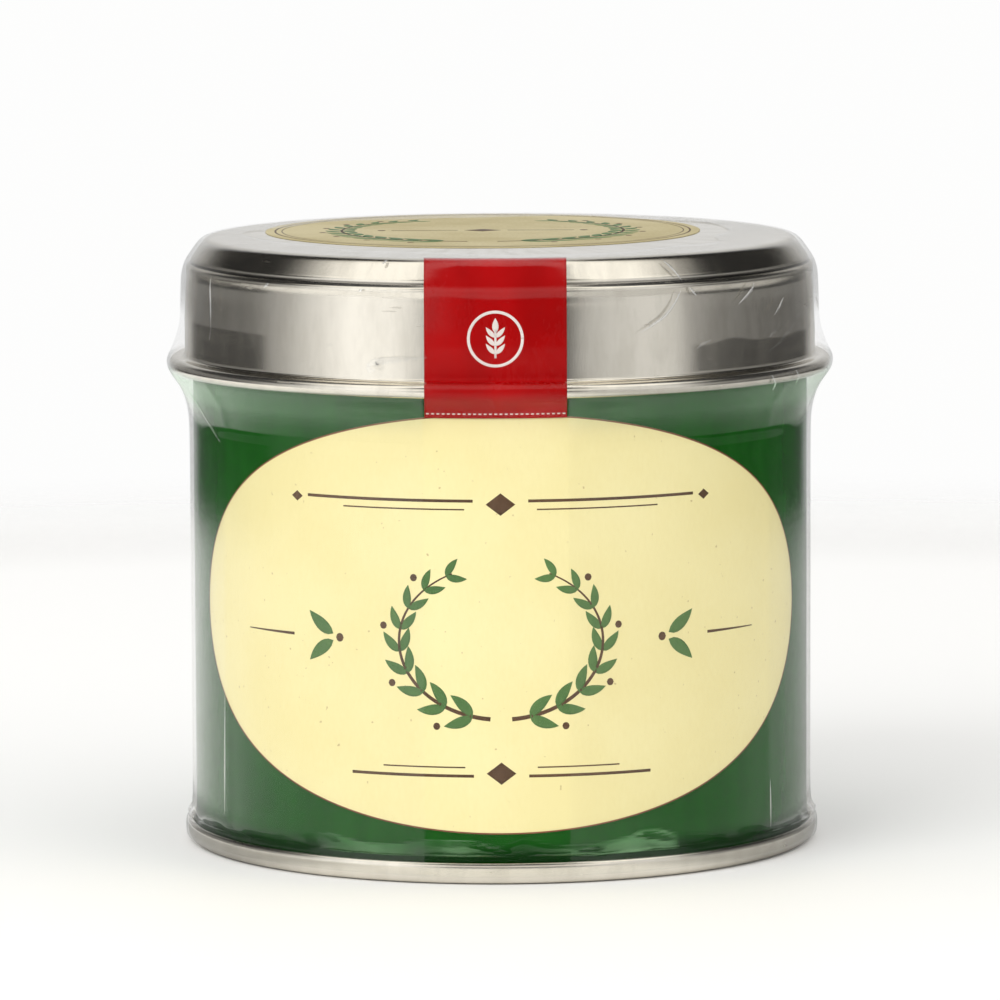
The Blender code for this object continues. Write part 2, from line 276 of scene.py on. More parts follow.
def turned(name: str, section: np.ndarray, capped: bool, bulge: Callable | None = None) -> bpy.types.Object:
    """Turns a section about the tin's axis.

    Args:
        name: Piece name.
        section: Radius and height of each point.
        capped: Whether both ends are on the axis.
        bulge: Gives the outward shift at an angle, radius and height.

    Returns:
        The new object.
    """
    angle = np.linspace(0, 2 * math.pi, ROUND, endpoint=False)[:, None]
    radius, height = section[None, :, 0], section[None, :, 1]
    far = radius + (bulge(angle, radius, height) if bulge else 0.0)
    far = np.broadcast_to(far, (ROUND, len(section)))
    grid = np.stack([far * np.sin(angle), -far * np.cos(angle), np.broadcast_to(height, far.shape)], axis=-1)
    return ring_mesh(name, grid, capped)


def slab_faces(rows: int, columns: int, first: int) -> list[list[int]]:
    """Faces of a closed slab whose top grid is numbered from first and whose bottom grid follows it."""
    top = np.arange(rows * columns).reshape(rows, columns) + first
    low = top + rows * columns
    quads = [np.stack([top[:-1, :-1], top[1:, :-1], top[1:, 1:], top[:-1, 1:]], axis=-1).reshape(-1, 4)]
    quads.append(np.stack([low[:-1, :-1], low[:-1, 1:], low[1:, 1:], low[1:, :-1]], axis=-1).reshape(-1, 4))
    for a, b in ((top[0], low[0]), (low[-1], top[-1]), (low[:, 0], top[:, 0]), (top[:, -1], low[:, -1])):
        quads.append(np.stack([a[:-1], a[1:], b[1:], b[:-1]], axis=-1))
    return np.concatenate(quads).tolist()


class Artwork:
    """Strokes laid on a surface, gathered into one piece.

    A stroke is a thin closed slab along a line. Its place on the surface comes from a mapping of two surface
    lengths and a height above the surface, all in millimetres.
    """

    def __init__(self, place: Place, height: float, crown: float = 0.0) -> None:
        """Starts an empty piece of artwork.

        Args:
            place: Mapping from surface lengths and height to points.
            height: How far the strokes stand off the surface.
            crown: Extra height along a stroke's middle.
        """
        self.place, self.height, self.crown = place, height, crown
        self.points: list[np.ndarray] = []
        self.faces: list[list[int]] = []
        self.count = 0

    def stroke(self, line: Sequence[tuple[float, float]], widths: Sequence[float] | float) -> None:
        """Adds one stroke.

        Args:
            line: Points of its middle line.
            widths: Full width at each point, or one width.
        """
        middle = np.array(line, float)
        along = np.gradient(middle, axis=0)
        along /= np.maximum(np.linalg.norm(along, axis=1, keepdims=True), 1e-9)
        side = np.stack([-along[:, 1], along[:, 0]], axis=1)
        wide = np.broadcast_to(np.asarray(widths, float), (len(middle),))
        spread = np.array([-0.5, -0.25, 0.0, 0.25, 0.5])
        flat = middle[:, None] + side[:, None] * (wide[:, None] * spread)[:, :, None]
        rise = self.height + self.crown * np.cos(spread * math.pi)[None, :] * (wide / max(wide.max(), 1e-9))[:, None]
        top = self.place(flat[..., 0], flat[..., 1], rise)
        low = self.place(flat[..., 0], flat[..., 1], np.full_like(rise, -0.02))
        self.faces += slab_faces(len(middle), len(spread), self.count)
        self.points += [top.reshape(-1, 3), low.reshape(-1, 3)]
        self.count += 2 * top.shape[0] * top.shape[1]

    def leaf(self, root: tuple[float, float], heading: float, length: float, width: float, bend: float = 0.0) -> None:
        """Adds a pointed leaf.

        Args:
            root: Where it leaves the stem.
            heading: Direction, in degrees.
            length: Leaf length.
            width: Greatest width.
            bend: How far it curls over its length, in degrees.
        """
        steps = 9
        t = np.linspace(0, 1, steps)
        turn = np.radians(heading + bend * t)
        step = length / (steps - 1)
        x = root[0] + np.concatenate([[0], np.cumsum(np.cos(turn[:-1]) * step)])
        y = root[1] + np.concatenate([[0], np.cumsum(np.sin(turn[:-1]) * step)])
        shape = np.maximum(np.sin(math.pi * t ** 0.8), 0) ** 0.85
        self.stroke(list(zip(x, y)), np.maximum(width * shape, 0.02))

    def dot(self, centre: tuple[float, float], radius: float) -> None:
        """Adds a filled round spot."""
        t = np.linspace(-1, 1, 9)
        self.stroke(
            [(centre[0] + radius * v, centre[1]) for v in t], np.maximum(2 * radius * np.sqrt(1 - t * t), 0.02)
        )

    def diamond(self, centre: tuple[float, float], across: float, tall: float) -> None:
        """Adds a filled diamond."""
        self.stroke([(centre[0] + across * v, centre[1]) for v in (-0.5, 0, 0.5)], [0.02, tall, 0.02])

    def loop(self, centre: tuple[float, float], across: float, tall: float, width: float, steps: int = 160) -> None:
        """Adds an oval line.

        Args:
            centre: Centre of the oval.
            across: Half its width.
            tall: Half its height.
            width: Width of the line.
            steps: Points round it.
        """
        turn = np.linspace(0, 2 * math.pi, steps + 1)
        line = [(centre[0] + across * math.cos(a), centre[1] + tall * math.sin(a)) for a in turn]
        self.stroke(line, width)

    def piece(self, name: str) -> bpy.types.Object:
        """Makes the object that holds every stroke."""
        return finish_mesh(name, np.concatenate(self.points), self.faces)


def on_wall(radius: float) -> Place:
    """Mapping on to a can wall: length round from the front, height, and distance off the wall."""

    def place(across: np.ndarray, up: np.ndarray, off: np.ndarray) -> np.ndarray:
        """Points on the wall."""
        turn, far = across / radius, radius + off
        return np.stack([far * np.sin(turn), -far * np.cos(turn), up + 0 * far], axis=-1)

    return place


def on_top(height: float, centre: tuple[float, float]) -> Place:
    """Mapping on to a level face at a height, measured from a centre."""

    def place(across: np.ndarray, back: np.ndarray, off: np.ndarray) -> np.ndarray:
        """Points on the face."""
        return np.stack([centre[0] + across, centre[1] + back, height + off + 0 * across], axis=-1)

    return place


# Node work


class Graph:
    """Adds nodes to one tree and joins them."""

    def __init__(self, tree: bpy.types.NodeTree) -> None:
        """Keeps the tree."""
        self.tree = tree

    def node(self, kind: str, settings: dict | None = None, **values: object) -> bpy.types.Node:
        """Adds a node.

        Args:
            kind: Node type without its ShaderNode prefix.
            settings: Properties to set.
            values: Value or socket for each input, with _ for a space in its name.

        Returns:
            The node.
        """
        made = self.tree.nodes.new("ShaderNode" + kind)
        for key, value in (settings or {}).items():
            setattr(made, key, value)
        for key, value in values.items():
            self.give(made.inputs[key.replace("_", " ")], value)
        return made

    def give(self, socket: bpy.types.NodeSocket, value: object) -> None:
        """Sets an input to a value, or joins another node's output to it."""
        if isinstance(value, bpy.types.NodeSocket):
            self.tree.links.new(value, socket)
        elif isinstance(value, tuple) and len(value) == 3 and socket.type == "RGBA":
            socket.default_value = (*value, 1.0)
        else:
            socket.default_value = value

    def maths(self, operation: str, *values: object, clamp: bool = False) -> bpy.types.NodeSocket:
        """Adds a Math node and gives its output."""
        made = self.node("Math", {"operation": operation, "use_clamp": clamp})
        for socket, value in zip(made.inputs, values):
            self.give(socket, value)
        return made.outputs[0]

    def remap(self, value: object, low: float, high: float, first: float = 0.0, last: float = 1.0) -> object:
        """Maps low to high on to first to last, clamped and smooth."""
        made = self.node(
            "MapRange",
            {"interpolation_type": "SMOOTHSTEP"},
            Value=value,
            From_Min=low,
            From_Max=high,
            To_Min=first,
            To_Max=last,
        )
        return made.outputs[0]

    def mix(self, share: object, first: object, second: object) -> bpy.types.NodeSocket:
        """Mixes two colours."""
        made = self.node("Mix", {"data_type": "RGBA", "clamp_factor": True})
        for socket, value in zip((made.inputs[0], made.inputs[6], made.inputs[7]), (share, first, second)):
            self.give(socket, value)
        return made.outputs[2]

    def noise(self, where: object, scale: float, detail: float = 2.0, rough: float = 0.5) -> bpy.types.NodeSocket:
        """A noise value of about 0 to 1."""
        return self.node("TexNoise", Vector=where, Scale=scale, Detail=detail, Roughness=rough).outputs[0]

    def stretch(self, where: object, by: tuple[float, float, float]) -> bpy.types.NodeSocket:
        """Scales a position along each axis."""
        made = self.node("VectorMath", {"operation": "MULTIPLY"})
        self.give(made.inputs[0], where)
        self.give(made.inputs[1], by)
        return made.outputs[0]

    def place(self) -> bpy.types.NodeSocket:
        """The point's position in the object, in metres."""
        return self.node("TexCoord").outputs["Object"]

    def ramp(self, value: object, stops: Sequence[tuple[float, Colour]]) -> bpy.types.NodeSocket:
        """A colour ramp.

        Args:
            value: Where to read it.
            stops: Position and colour of each stop.

        Returns:
            The colour output.
        """
        made = self.node("ValToRGB", Fac=value)
        elements = made.color_ramp.elements
        while len(elements) < len(stops):
            elements.new(0.5)
        for element, (position, colour) in zip(elements, stops):
            element.position = position
        for element, (position, colour) in zip(elements, stops):
            element.color = (*colour, 1.0)
        return made.outputs[0]

    def node_in(self) -> dict[str, bpy.types.NodeSocket]:
        """Adds a group's input node and gives its sockets by name."""
        made = self.tree.nodes.new("NodeGroupInput")
        return {socket.name: socket for socket in made.outputs if socket.name}

    def node_out(self) -> bpy.types.Node:
        """Adds a group's output node."""
        return self.tree.nodes.new("NodeGroupOutput")


def new_group(name: str, inputs: dict[str, float], outputs: dict[str, str]) -> tuple[bpy.types.NodeTree, Graph]:
    """Starts a shader node group.

    Args:
        name: Group name.
        inputs: Name and default of each value input.
        outputs: Name and socket type of each output.

    Returns:
        The group's tree and its graph.
    """
    tree = bpy.data.node_groups.new(name, "ShaderNodeTree")
    for key, value in inputs.items():
        socket = tree.interface.new_socket(key, in_out="INPUT", socket_type="NodeSocketFloat")
        socket.default_value = value
    for key, kind in outputs.items():
        tree.interface.new_socket(key, in_out="OUTPUT", socket_type=kind)
    return tree, Graph(tree)


@dataclass(frozen=True)
class SheetGrain:
    """Node group: grain, soft dents and fine scuffs of thin rolled sheet metal."""

    name: str = "sheet_grain"

    def tree(self) -> bpy.types.NodeTree:
        """Gives the group, built on first use.

        Returns:
            The group, with outputs Height, Scuffs and Tone.
        """
        if self.name in bpy.data.node_groups:
            return bpy.data.node_groups[self.name]
        kinds = {"Height": "NodeSocketFloat", "Scuffs": "NodeSocketFloat", "Tone": "NodeSocketFloat"}
        tree, g = new_group(self.name, {"Grain": 1.0, "Dents": 1.0}, kinds)
        given, out = g.node_in(), g.node_out()
        x, y, z = g.node("SeparateXYZ", Vector=g.place()).outputs
        turn = g.maths("MULTIPLY", g.maths("ARCTAN2", x, g.maths("MULTIPLY", y, -1.0)), 0.0375)
        reach = g.maths("SQRT", g.maths("ADD", g.maths("MULTIPLY", x, x), g.maths("MULTIPLY", y, y)))
        wrapped = g.node("CombineXYZ", X=turn, Y=reach, Z=z).outputs[0]
        grain = g.noise(g.stretch(wrapped, (1.0, 0.25, 0.25)), 5200.0, 3.0, 0.6)
        dents = g.noise(g.stretch(g.place(), (1.0, 1.0, 0.6)), 95.0, 1.0)
        lines = g.noise(g.stretch(wrapped, (0.12, 1.0, 1.0)), 2600.0, 1.0)
        patches = g.noise(g.place(), 140.0, 3.0, 0.65)
        scuffs = g.maths("MULTIPLY", g.remap(lines, 0.66, 0.76), g.remap(patches, 0.48, 0.66))
        height = g.maths("ADD", g.maths("MULTIPLY", grain, given["Grain"]), g.maths("MULTIPLY", dents, given["Dents"]))
        g.give(out.inputs["Height"], height)
        g.give(out.inputs["Scuffs"], scuffs)
        g.give(out.inputs["Tone"], g.noise(g.stretch(wrapped, (1.0, 0.3, 0.3)), 420.0, 4.0, 0.6))
        return tree


@dataclass(frozen=True)
class PaperFibre:
    """Node group: tone and fine relief of coated paper."""

    name: str = "paper_fibre"

    def tree(self) -> bpy.types.NodeTree:
        """Gives the group, built on first use.

        Returns:
            The group, with outputs Tone, Flecks and Height.
        """
        if self.name in bpy.data.node_groups:
            return bpy.data.node_groups[self.name]
        kinds = {"Tone": "NodeSocketFloat", "Flecks": "NodeSocketFloat", "Height": "NodeSocketFloat"}
        tree, g = new_group(self.name, {"Scale": 1.0}, kinds)
        given, out = g.node_in(), g.node_out()
        cloud = g.noise(g.place(), 75.0, 3.0)
        sized = g.maths("MULTIPLY", given["Scale"], 2300.0)
        fine = g.node("TexNoise", Vector=g.stretch(g.place(), (1.0, 1.0, 0.45)), Scale=sized, Detail=3.0).outputs[0]
        flecks = g.remap(g.noise(g.place(), 1500.0, 1.0), 0.755, 0.80)
        g.give(out.inputs["Tone"], g.remap(g.maths("ADD", g.maths("MULTIPLY", cloud, 0.7), g.maths("MULTIPLY", fine, 0.3)), 0.3, 0.7))
        g.give(out.inputs["Flecks"], flecks)
        g.give(out.inputs["Height"], fine)
        return tree


@dataclass(frozen=True)
class Finish:
    """A finish: one procedural material, made on first use."""

    name: str = "finish"

    def material(self) -> bpy.types.Material:
        """Gives the material, building it the first time."""
        title = self.name + "_finish"
        known = bpy.data.materials.get(title)
        if known:
            return known
        made = bpy.data.materials.new(title)
        made.use_nodes = True
        graph = Graph(made.node_tree)
        self.dress(graph, made.node_tree.nodes["Principled BSDF"])
        return made

    def dress(self, g: Graph, shader: bpy.types.Node) -> None:
        """Sets the shader's inputs; each finish has its own."""
        raise NotImplementedError

    def use(self, g: Graph, tree: bpy.types.NodeTree, **values: float) -> bpy.types.Node:
        """Places a shared group in the material with its own values."""
        made = g.tree.nodes.new("ShaderNodeGroup")
        made.node_tree = tree
        for key, value in values.items():
            made.inputs[key].default_value = value
        return made

    def bump(self, g: Graph, height: object, depth: float, strength: float = 1.0) -> bpy.types.NodeSocket:
        """A bump normal, depth in metres."""
        made = g.node("Bump", Strength=strength, Distance=depth, Height=height)
        return made.outputs[0]


@dataclass(frozen=True)
class Tinplate(Finish):
    """Bare satin tinplate with faint grain, soft dents and scuffs, and a painted shade line at a groove's height when
    line is set.
    """

    name: str = "tinplate"
    colour: Colour = (0.80, 0.757, 0.665)
    worn: Colour = (0.62, 0.58, 0.495)
    rough: float = 0.13
    dents: float = 0.5
    # line: height of a painted dark shade line along a groove; below zero means none.
    line: float = -1.0

    def dress(self, g: Graph, shader: bpy.types.Node) -> None:
        """Joins the sheet grain to colour, roughness and bump."""
        sheet = self.use(g, SheetGrain().tree(), Grain=0.05, Dents=self.dents)
        tone = g.mix(g.remap(sheet.outputs["Tone"], 0.35, 0.7, 0.0, 0.35), self.colour, self.worn)
        tone = g.mix(g.maths("MULTIPLY", sheet.outputs["Scuffs"], 0.5), tone, self.worn)
        # Painted shade: a thin dark band at the height of line, standing in for the shade in the lid's groove.
        if self.line > 0:
            off = g.maths("ABSOLUTE", g.maths("SUBTRACT", g.node("SeparateXYZ", Vector=g.place()).outputs[2], self.line))
            tone = g.mix(g.remap(off, 0.00008, 0.00022, 0.75, 0.0), tone, (0.10, 0.09, 0.08))
        g.give(shader.inputs["Base Color"], tone)
        shader.inputs["Metallic"].default_value = 1.0
        base = g.remap(sheet.outputs["Tone"], 0.3, 0.75, self.rough, self.rough + 0.07)
        scuffed = g.maths("ADD", base, g.maths("MULTIPLY", sheet.outputs["Scuffs"], 0.2))
        g.give(shader.inputs["Roughness"], scuffed)
        g.give(shader.inputs["Normal"], self.bump(g, sheet.outputs["Height"], 0.00006))


@dataclass(frozen=True)
class GreenLacquer(Finish):
    """Deep green printed lacquer over tinplate, glossy, with the sheet's faint grain and painted shade low on the wall.
    """

    name: str = "green_lacquer"
    colour: Colour = (0.0022, 0.066, 0.0018)
    light: Colour = (0.0045, 0.086, 0.0038)
    # shade: painted shade colour low on the wall, over the base seam.
    shade: Colour = (0.0010, 0.0090, 0.0010)
    rough: float = 0.18
    gloss: float = 0.12

    def dress(self, g: Graph, shader: bpy.types.Node) -> None:
        """Joins the sheet grain to colour, roughness and bump."""
        sheet = self.use(g, SheetGrain().tree(), Grain=0.002, Dents=0.35)
        tone = g.mix(g.remap(sheet.outputs["Tone"], 0.3, 0.75), self.colour, self.light)
        high = g.node("SeparateXYZ", Vector=g.place()).outputs[2]
        # Painted shade: the wall darkens towards the base seam, standing in for the shadow low on the tin.
        g.give(shader.inputs["Base Color"], g.mix(g.remap(high, 0.0030, 0.0052, 0.78, 0.0), tone, self.shade))
        g.give(shader.inputs["Roughness"], g.remap(sheet.outputs["Tone"], 0.3, 0.7, self.rough, self.rough + 0.08))
        shader.inputs["Specular IOR Level"].default_value = self.gloss
        g.give(shader.inputs["Normal"], self.bump(g, sheet.outputs["Height"], 0.00005))


@dataclass(frozen=True)
class LabelPaper(Finish):
    """Coated label paper in one tint."""

    name: str = "label_paper"
    colour: Colour = (0.875, 0.79, 0.415)
    shade: Colour = (0.84, 0.745, 0.365)
    fleck: Colour = (0.45, 0.33, 0.14)
    rough: float = 0.42

    def dress(self, g: Graph, shader: bpy.types.Node) -> None:
        """Joins the paper fibre to colour, roughness and bump."""
        paper = self.use(g, PaperFibre().tree(), Scale=1.0)
        tint = g.mix(paper.outputs["Tone"], self.colour, self.shade)
        g.give(shader.inputs["Base Color"], g.mix(g.maths("MULTIPLY", paper.outputs["Flecks"], 0.6), tint, self.fleck))
        g.give(shader.inputs["Roughness"], g.remap(paper.outputs["Tone"], 0.0, 1.0, self.rough, self.rough + 0.1))
        g.give(shader.inputs["Normal"], self.bump(g, paper.outputs["Height"], 0.000012, 0.6))


@dataclass(frozen=True)
class Ink(Finish):
    """Printing ink, slightly uneven where it sits in the paper."""

    name: str = "ink"
    colour: Colour = (0.05, 0.03, 0.02)
    faded: Colour = (0.10, 0.065, 0.04)
    rough: float = 0.45

    def dress(self, g: Graph, shader: bpy.types.Node) -> None:
        """Varies the ink's depth with the paper's fibre."""
        paper = self.use(g, PaperFibre().tree(), Scale=1.4)
        g.give(shader.inputs["Base Color"], g.mix(paper.outputs["Tone"], self.colour, self.faded))
        g.give(shader.inputs["Roughness"], g.remap(paper.outputs["Tone"], 0.0, 1.0, self.rough, self.rough + 0.15))


@dataclass(frozen=True)
class SealTape(Finish):
    """Glossy red seal paper with soft ripples from being pressed on."""

    name: str = "red_seal"
    colour: Colour = (0.40, 0.0012, 0.002)
    deep: Colour = (0.32, 0.0006, 0.001)
    rough: float = 0.22
    gloss: float = 0.12

    def dress(self, g: Graph, shader: bpy.types.Node) -> None:
        """Joins soft creases and fibre to colour, roughness and bump."""
        paper = self.use(g, PaperFibre().tree(), Scale=0.8)
        folds = g.noise(g.stretch(g.place(), (1.0, 0.6, 0.35)), 190.0, 2.0)
        g.give(shader.inputs["Base Color"], g.mix(g.remap(folds, 0.3, 0.7), self.colour, self.deep))
        g.give(shader.inputs["Roughness"], g.remap(paper.outputs["Tone"], 0.0, 1.0, self.rough, self.rough + 0.1))
        shader.inputs["Specular IOR Level"].default_value = self.gloss
        height = g.maths("ADD", folds, g.maths("MULTIPLY", paper.outputs["Height"], 0.04))
        g.give(shader.inputs["Normal"], self.bump(g, height, 0.00012, 0.8))


@dataclass(frozen=True)
class ClearFilm(Finish):
    """Clear shrink film: it mirrors weakly head on and strongly at a glance, with milky drawn zones, some painted with
    a green glow.
    """

    name: str = "clear_film"
    facing_share: float = 0.016
    edge_share: float = 0.62
    edge_power: float = 3.9
    rough: float = 0.04
    # Milkiness of the crumpled film above the base seam, by degrees round from the front.
    patches: tuple[tuple[float, float], ...] = (
        (-180, 0.3), (-75, 0.5), (-62, 0.0), (-36, 0.0), (-29, 0.45), (-20, 0.6), (-14, 0.3), (-9, 0.8), (-4, 0.6),
        (-1, 0.12), (8, 0.15), (11, 0.6), (20, 0.5), (25, 0.9), (32, 0.9), (33.5, 0.0), (57, 0.0), (60, 0.4),
        (180, 0.3),
    )

    def dress(self, g: Graph, shader: bpy.types.Node) -> None:
        """Sets the mirror's share by angle, and the milky zones."""
        x, y, z = g.node("SeparateXYZ", Vector=g.place()).outputs
        glance = g.node("LayerWeight", Blend=0.5).outputs["Facing"]
        mirror = g.maths("ADD", g.maths("MULTIPLY", g.maths("POWER", glance, self.edge_power), self.edge_share), self.facing_share)
        drawn = g.noise(g.stretch(g.place(), (1.0, 1.0, 0.35)), 160.0, 3.0, 0.6)
        lid = g.remap(z, 0.0721, 0.0723)
        back = g.maths("MULTIPLY", g.remap(x, 0.004, 0.022), g.remap(y, -0.006, 0.022))
        top = g.maths("MULTIPLY", g.maths("MULTIPLY", lid, back), g.remap(drawn, 0.3, 0.62, 0.1, 0.55))
        bridge = g.maths("MULTIPLY", g.remap(z, 0.0515, 0.0550), g.remap(z, 0.0562, 0.0574, 0.11, 0.0))
        below = g.remap(z, 0.0574, 0.0578, 1.0, 0.0)
        strip = g.maths("MULTIPLY", g.remap(g.maths("ABSOLUTE", g.maths("ADD", x, 0.0005)), 0.0082, 0.0086, 1.0, 0.0), below)
        strip = g.maths("MULTIPLY", strip, g.remap(y, -0.02, 0.0, 0.85, 0.0))
        bridge = g.maths("MULTIPLY", bridge, g.maths("SUBTRACT", 1.0, strip))
        mirror = g.maths("MULTIPLY", mirror, g.maths("SUBTRACT", 1.0, strip))
        turn = g.maths("DIVIDE", g.maths("ARCTAN2", x, g.maths("MULTIPLY", y, -1.0)), math.radians(360))
        milk = g.ramp(g.maths("ADD", turn, 0.5), [(0.5 + a / 360, (v, v, v)) for a, v in self.patches])
        sloped = g.remap(g.node("SeparateXYZ", Vector=g.node("NewGeometry").outputs["True Normal"]).outputs[2], 0.02, 0.12)
        foot = g.maths("MULTIPLY", g.remap(z, 0.0053, 0.0060, 1.0, 0.0), g.remap(z, 0.0029, 0.0033))
        patch = g.maths("MULTIPLY", g.maths("MULTIPLY", sloped, foot), g.remap(drawn, 0.3, 0.6, 0.35, 1.0))
        patch = g.maths("MULTIPLY", g.maths("MULTIPLY", patch, milk), 0.36)
        haze = g.maths("MAXIMUM", g.maths("MAXIMUM", top, bridge), patch)
        cling = g.maths("MULTIPLY", g.remap(z, 0.0578, 0.0588), g.remap(z, 0.0632, 0.0652, 0.8, 0.0))
        mirror = g.maths("MULTIPLY", mirror, g.maths("SUBTRACT", 1.0, cling))
        on_top = g.maths("MULTIPLY", lid, g.remap(glance, 0.7, 0.9, 0.0, 0.62))
        mirror = g.maths("MULTIPLY", mirror, g.maths("SUBTRACT", 1.0, on_top))
        g.give(shader.inputs["Metallic"], g.maths("SUBTRACT", 1.0, haze, clamp=True))
        g.give(shader.inputs["Alpha"], g.maths("ADD", mirror, g.maths("MULTIPLY", haze, 0.35), clamp=True))
        g.give(shader.inputs["Roughness"], g.remap(drawn, 0.35, 0.7, self.rough, self.rough + 0.05))
        # Painted light: under the bead the film's milk and mirror are tinted green, standing in for the green wall's
        # glow through the film; the milkiness itself is the film's own.
        tint = g.mix(g.remap(bridge, 0.0, 0.11), (0.97, 0.97, 0.96), (0.80, 1.0, 0.80))
        front = g.remap(g.maths("ABSOLUTE", x), 0.026, 0.031, 1.0, 0.0)
        # Painted light: in front, the milky patches above the base seam are tinted green too, for the wall's glow
        # through them.
        g.give(shader.inputs["Base Color"], g.mix(g.maths("MULTIPLY", g.remap(patch, 0.0, 0.12), front), tint, (0.58, 1.0, 0.55)))
        g.give(shader.inputs["Normal"], self.bump(g, drawn, 0.00005, 0.35))


@dataclass(frozen=True)
class DriedFruit(Finish):
    """Dry red-brown fruit skin, paler and dusty on the berries' tops."""

    name: str = "dried_fruit"
    dark: Colour = (0.050, 0.016, 0.009)
    warm: Colour = (0.170, 0.052, 0.026)
    dust: Colour = (0.300, 0.190, 0.130)

    def dress(self, g: Graph, shader: bpy.types.Node) -> None:
        """Varies the colour by skin, creases and dust."""
        skin = g.noise(g.place(), 700.0, 4.0, 0.65)
        fine = g.noise(g.place(), 5200.0, 3.0, 0.6)
        worn = g.remap(g.node("NewGeometry").outputs["Pointiness"], 0.49, 0.58)
        base = g.mix(g.remap(skin, 0.3, 0.7), self.dark, self.warm)
        g.give(shader.inputs["Base Color"], g.mix(g.maths("MULTIPLY", worn, 0.6), base, self.dust))
        g.give(shader.inputs["Roughness"], g.remap(fine, 0.3, 0.7, 0.62, 0.85))
        height = g.maths("ADD", g.maths("MULTIPLY", skin, 0.7), g.maths("MULTIPLY", fine, 0.3))
        g.give(shader.inputs["Normal"], self.bump(g, height, 0.00025, 0.8))


@dataclass(frozen=True)
class PaleFloor(Finish):
    """Plain pale floor that fades out, away from the tin; in reflections it carries painted shade."""

    name: str = "pale_floor"
    colour: Colour = (0.93, 0.93, 0.925)
    fade_from: float = 0.26
    fade_to: float = 0.40

    def dress(self, g: Graph, shader: bpy.types.Node) -> None:
        """Fades the floor with distance, and paints shade on it as reflections see it."""
        x, y, _ = g.node("SeparateXYZ", Vector=g.place()).outputs
        reach = g.maths("SQRT", g.maths("ADD", g.maths("MULTIPLY", x, x), g.maths("MULTIPLY", y, y)))
        # Painted shade: as glossy rays see it, the floor is darker to the right and close beside the tin, standing in
        # for shade on that side and the tin's shadow beside it.
        right = g.remap(x, 0.025, 0.07, 0.0, 0.42)
        near = g.maths("MULTIPLY", g.remap(reach, 0.052, 0.066, 1.0, 0.0), g.remap(g.maths("ABSOLUTE", x), 0.02, 0.034))
        painted_reflection_shade = g.maths("MAXIMUM", right, g.maths("MULTIPLY", near, 0.45))
        seen = g.maths("MULTIPLY", painted_reflection_shade, g.node("LightPath").outputs["Is Glossy Ray"])
        g.give(shader.inputs["Base Color"], g.mix(seen, self.colour, (0.0, 0.0, 0.0)))
        shader.inputs["Roughness"].default_value = 0.6
        shader.inputs["Specular IOR Level"].default_value = 0.2
        g.give(shader.inputs["Alpha"], g.remap(reach, self.fade_from, self.fade_to, 1.0, 0.0))


# Sub-assemblies


def settle(piece: bpy.types.Object, finish: Finish, slot: Slot, *nodes: str) -> bpy.types.Object:
    """Dresses a piece and parents it to the tin's body.

    Args:
        piece: The piece.
        finish: Its finish.
        slot: Its material slot; not used.
        nodes: The solids that it stands for.

    Returns:
        The piece.
    """
    piece.data.materials.append(finish.material())
    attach(piece, BODY)
    if nodes:
        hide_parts(*nodes)
    LOG.info("%s: %d faces", piece.name, len(piece.data.polygons))
    return piece


@dataclass
class CanBody:
    """The can wall with its flanges, and the welded side seam at the back."""

    wall: float = 36.75
    sheet: float = 0.25
    low: float = 0.62
    top: float = 67.3
    curl: float = 0.42
    seam_width: float = 1.3
    seam_rise: float = 0.10

    def outline(self) -> np.ndarray:
        """The wall's section: outside from the rim curl down, then the inside."""
        rim = arc((self.wall + 0.15, self.top + 0.8), self.curl, 110, -130, 14)
        outside = rim + [(self.wall, self.top), (self.wall, 4.4), (self.wall + 0.1, 3.2)]
        outside += [(self.wall + 0.3, 1.2), (self.wall + 0.3, self.low)]
        inside = [(self.wall + 0.05, self.low), (self.wall + 0.05, 1.2), (self.wall - self.sheet, 3.4)]
        inside += [(self.wall - self.sheet, self.top), (self.wall - self.sheet, self.top + 0.9)]
        return np.concatenate([resampled(outside, 0.8), resampled(inside, 0.9)])

    def seam(self, angle: np.ndarray, radius: np.ndarray, height: np.ndarray) -> np.ndarray:
        """Outward step of the lapped seam at the back, on the outside face only."""
        off = np.abs(np.abs(np.remainder(angle + math.pi, 2 * math.pi) - math.pi) - math.pi) * self.wall
        lap = smooth((self.seam_width - off) / 0.35)
        outside = smooth((radius - self.wall + 0.12) / 0.1)
        return self.seam_rise * lap * outside * band(height, 3.6, self.top, 0.6)

    def build(self) -> None:
        """Builds and dresses the wall."""
        piece = turned("can_wall", self.outline(), False, self.seam)
        settle(piece, GreenLacquer(), Slot.BODY, "can_body")


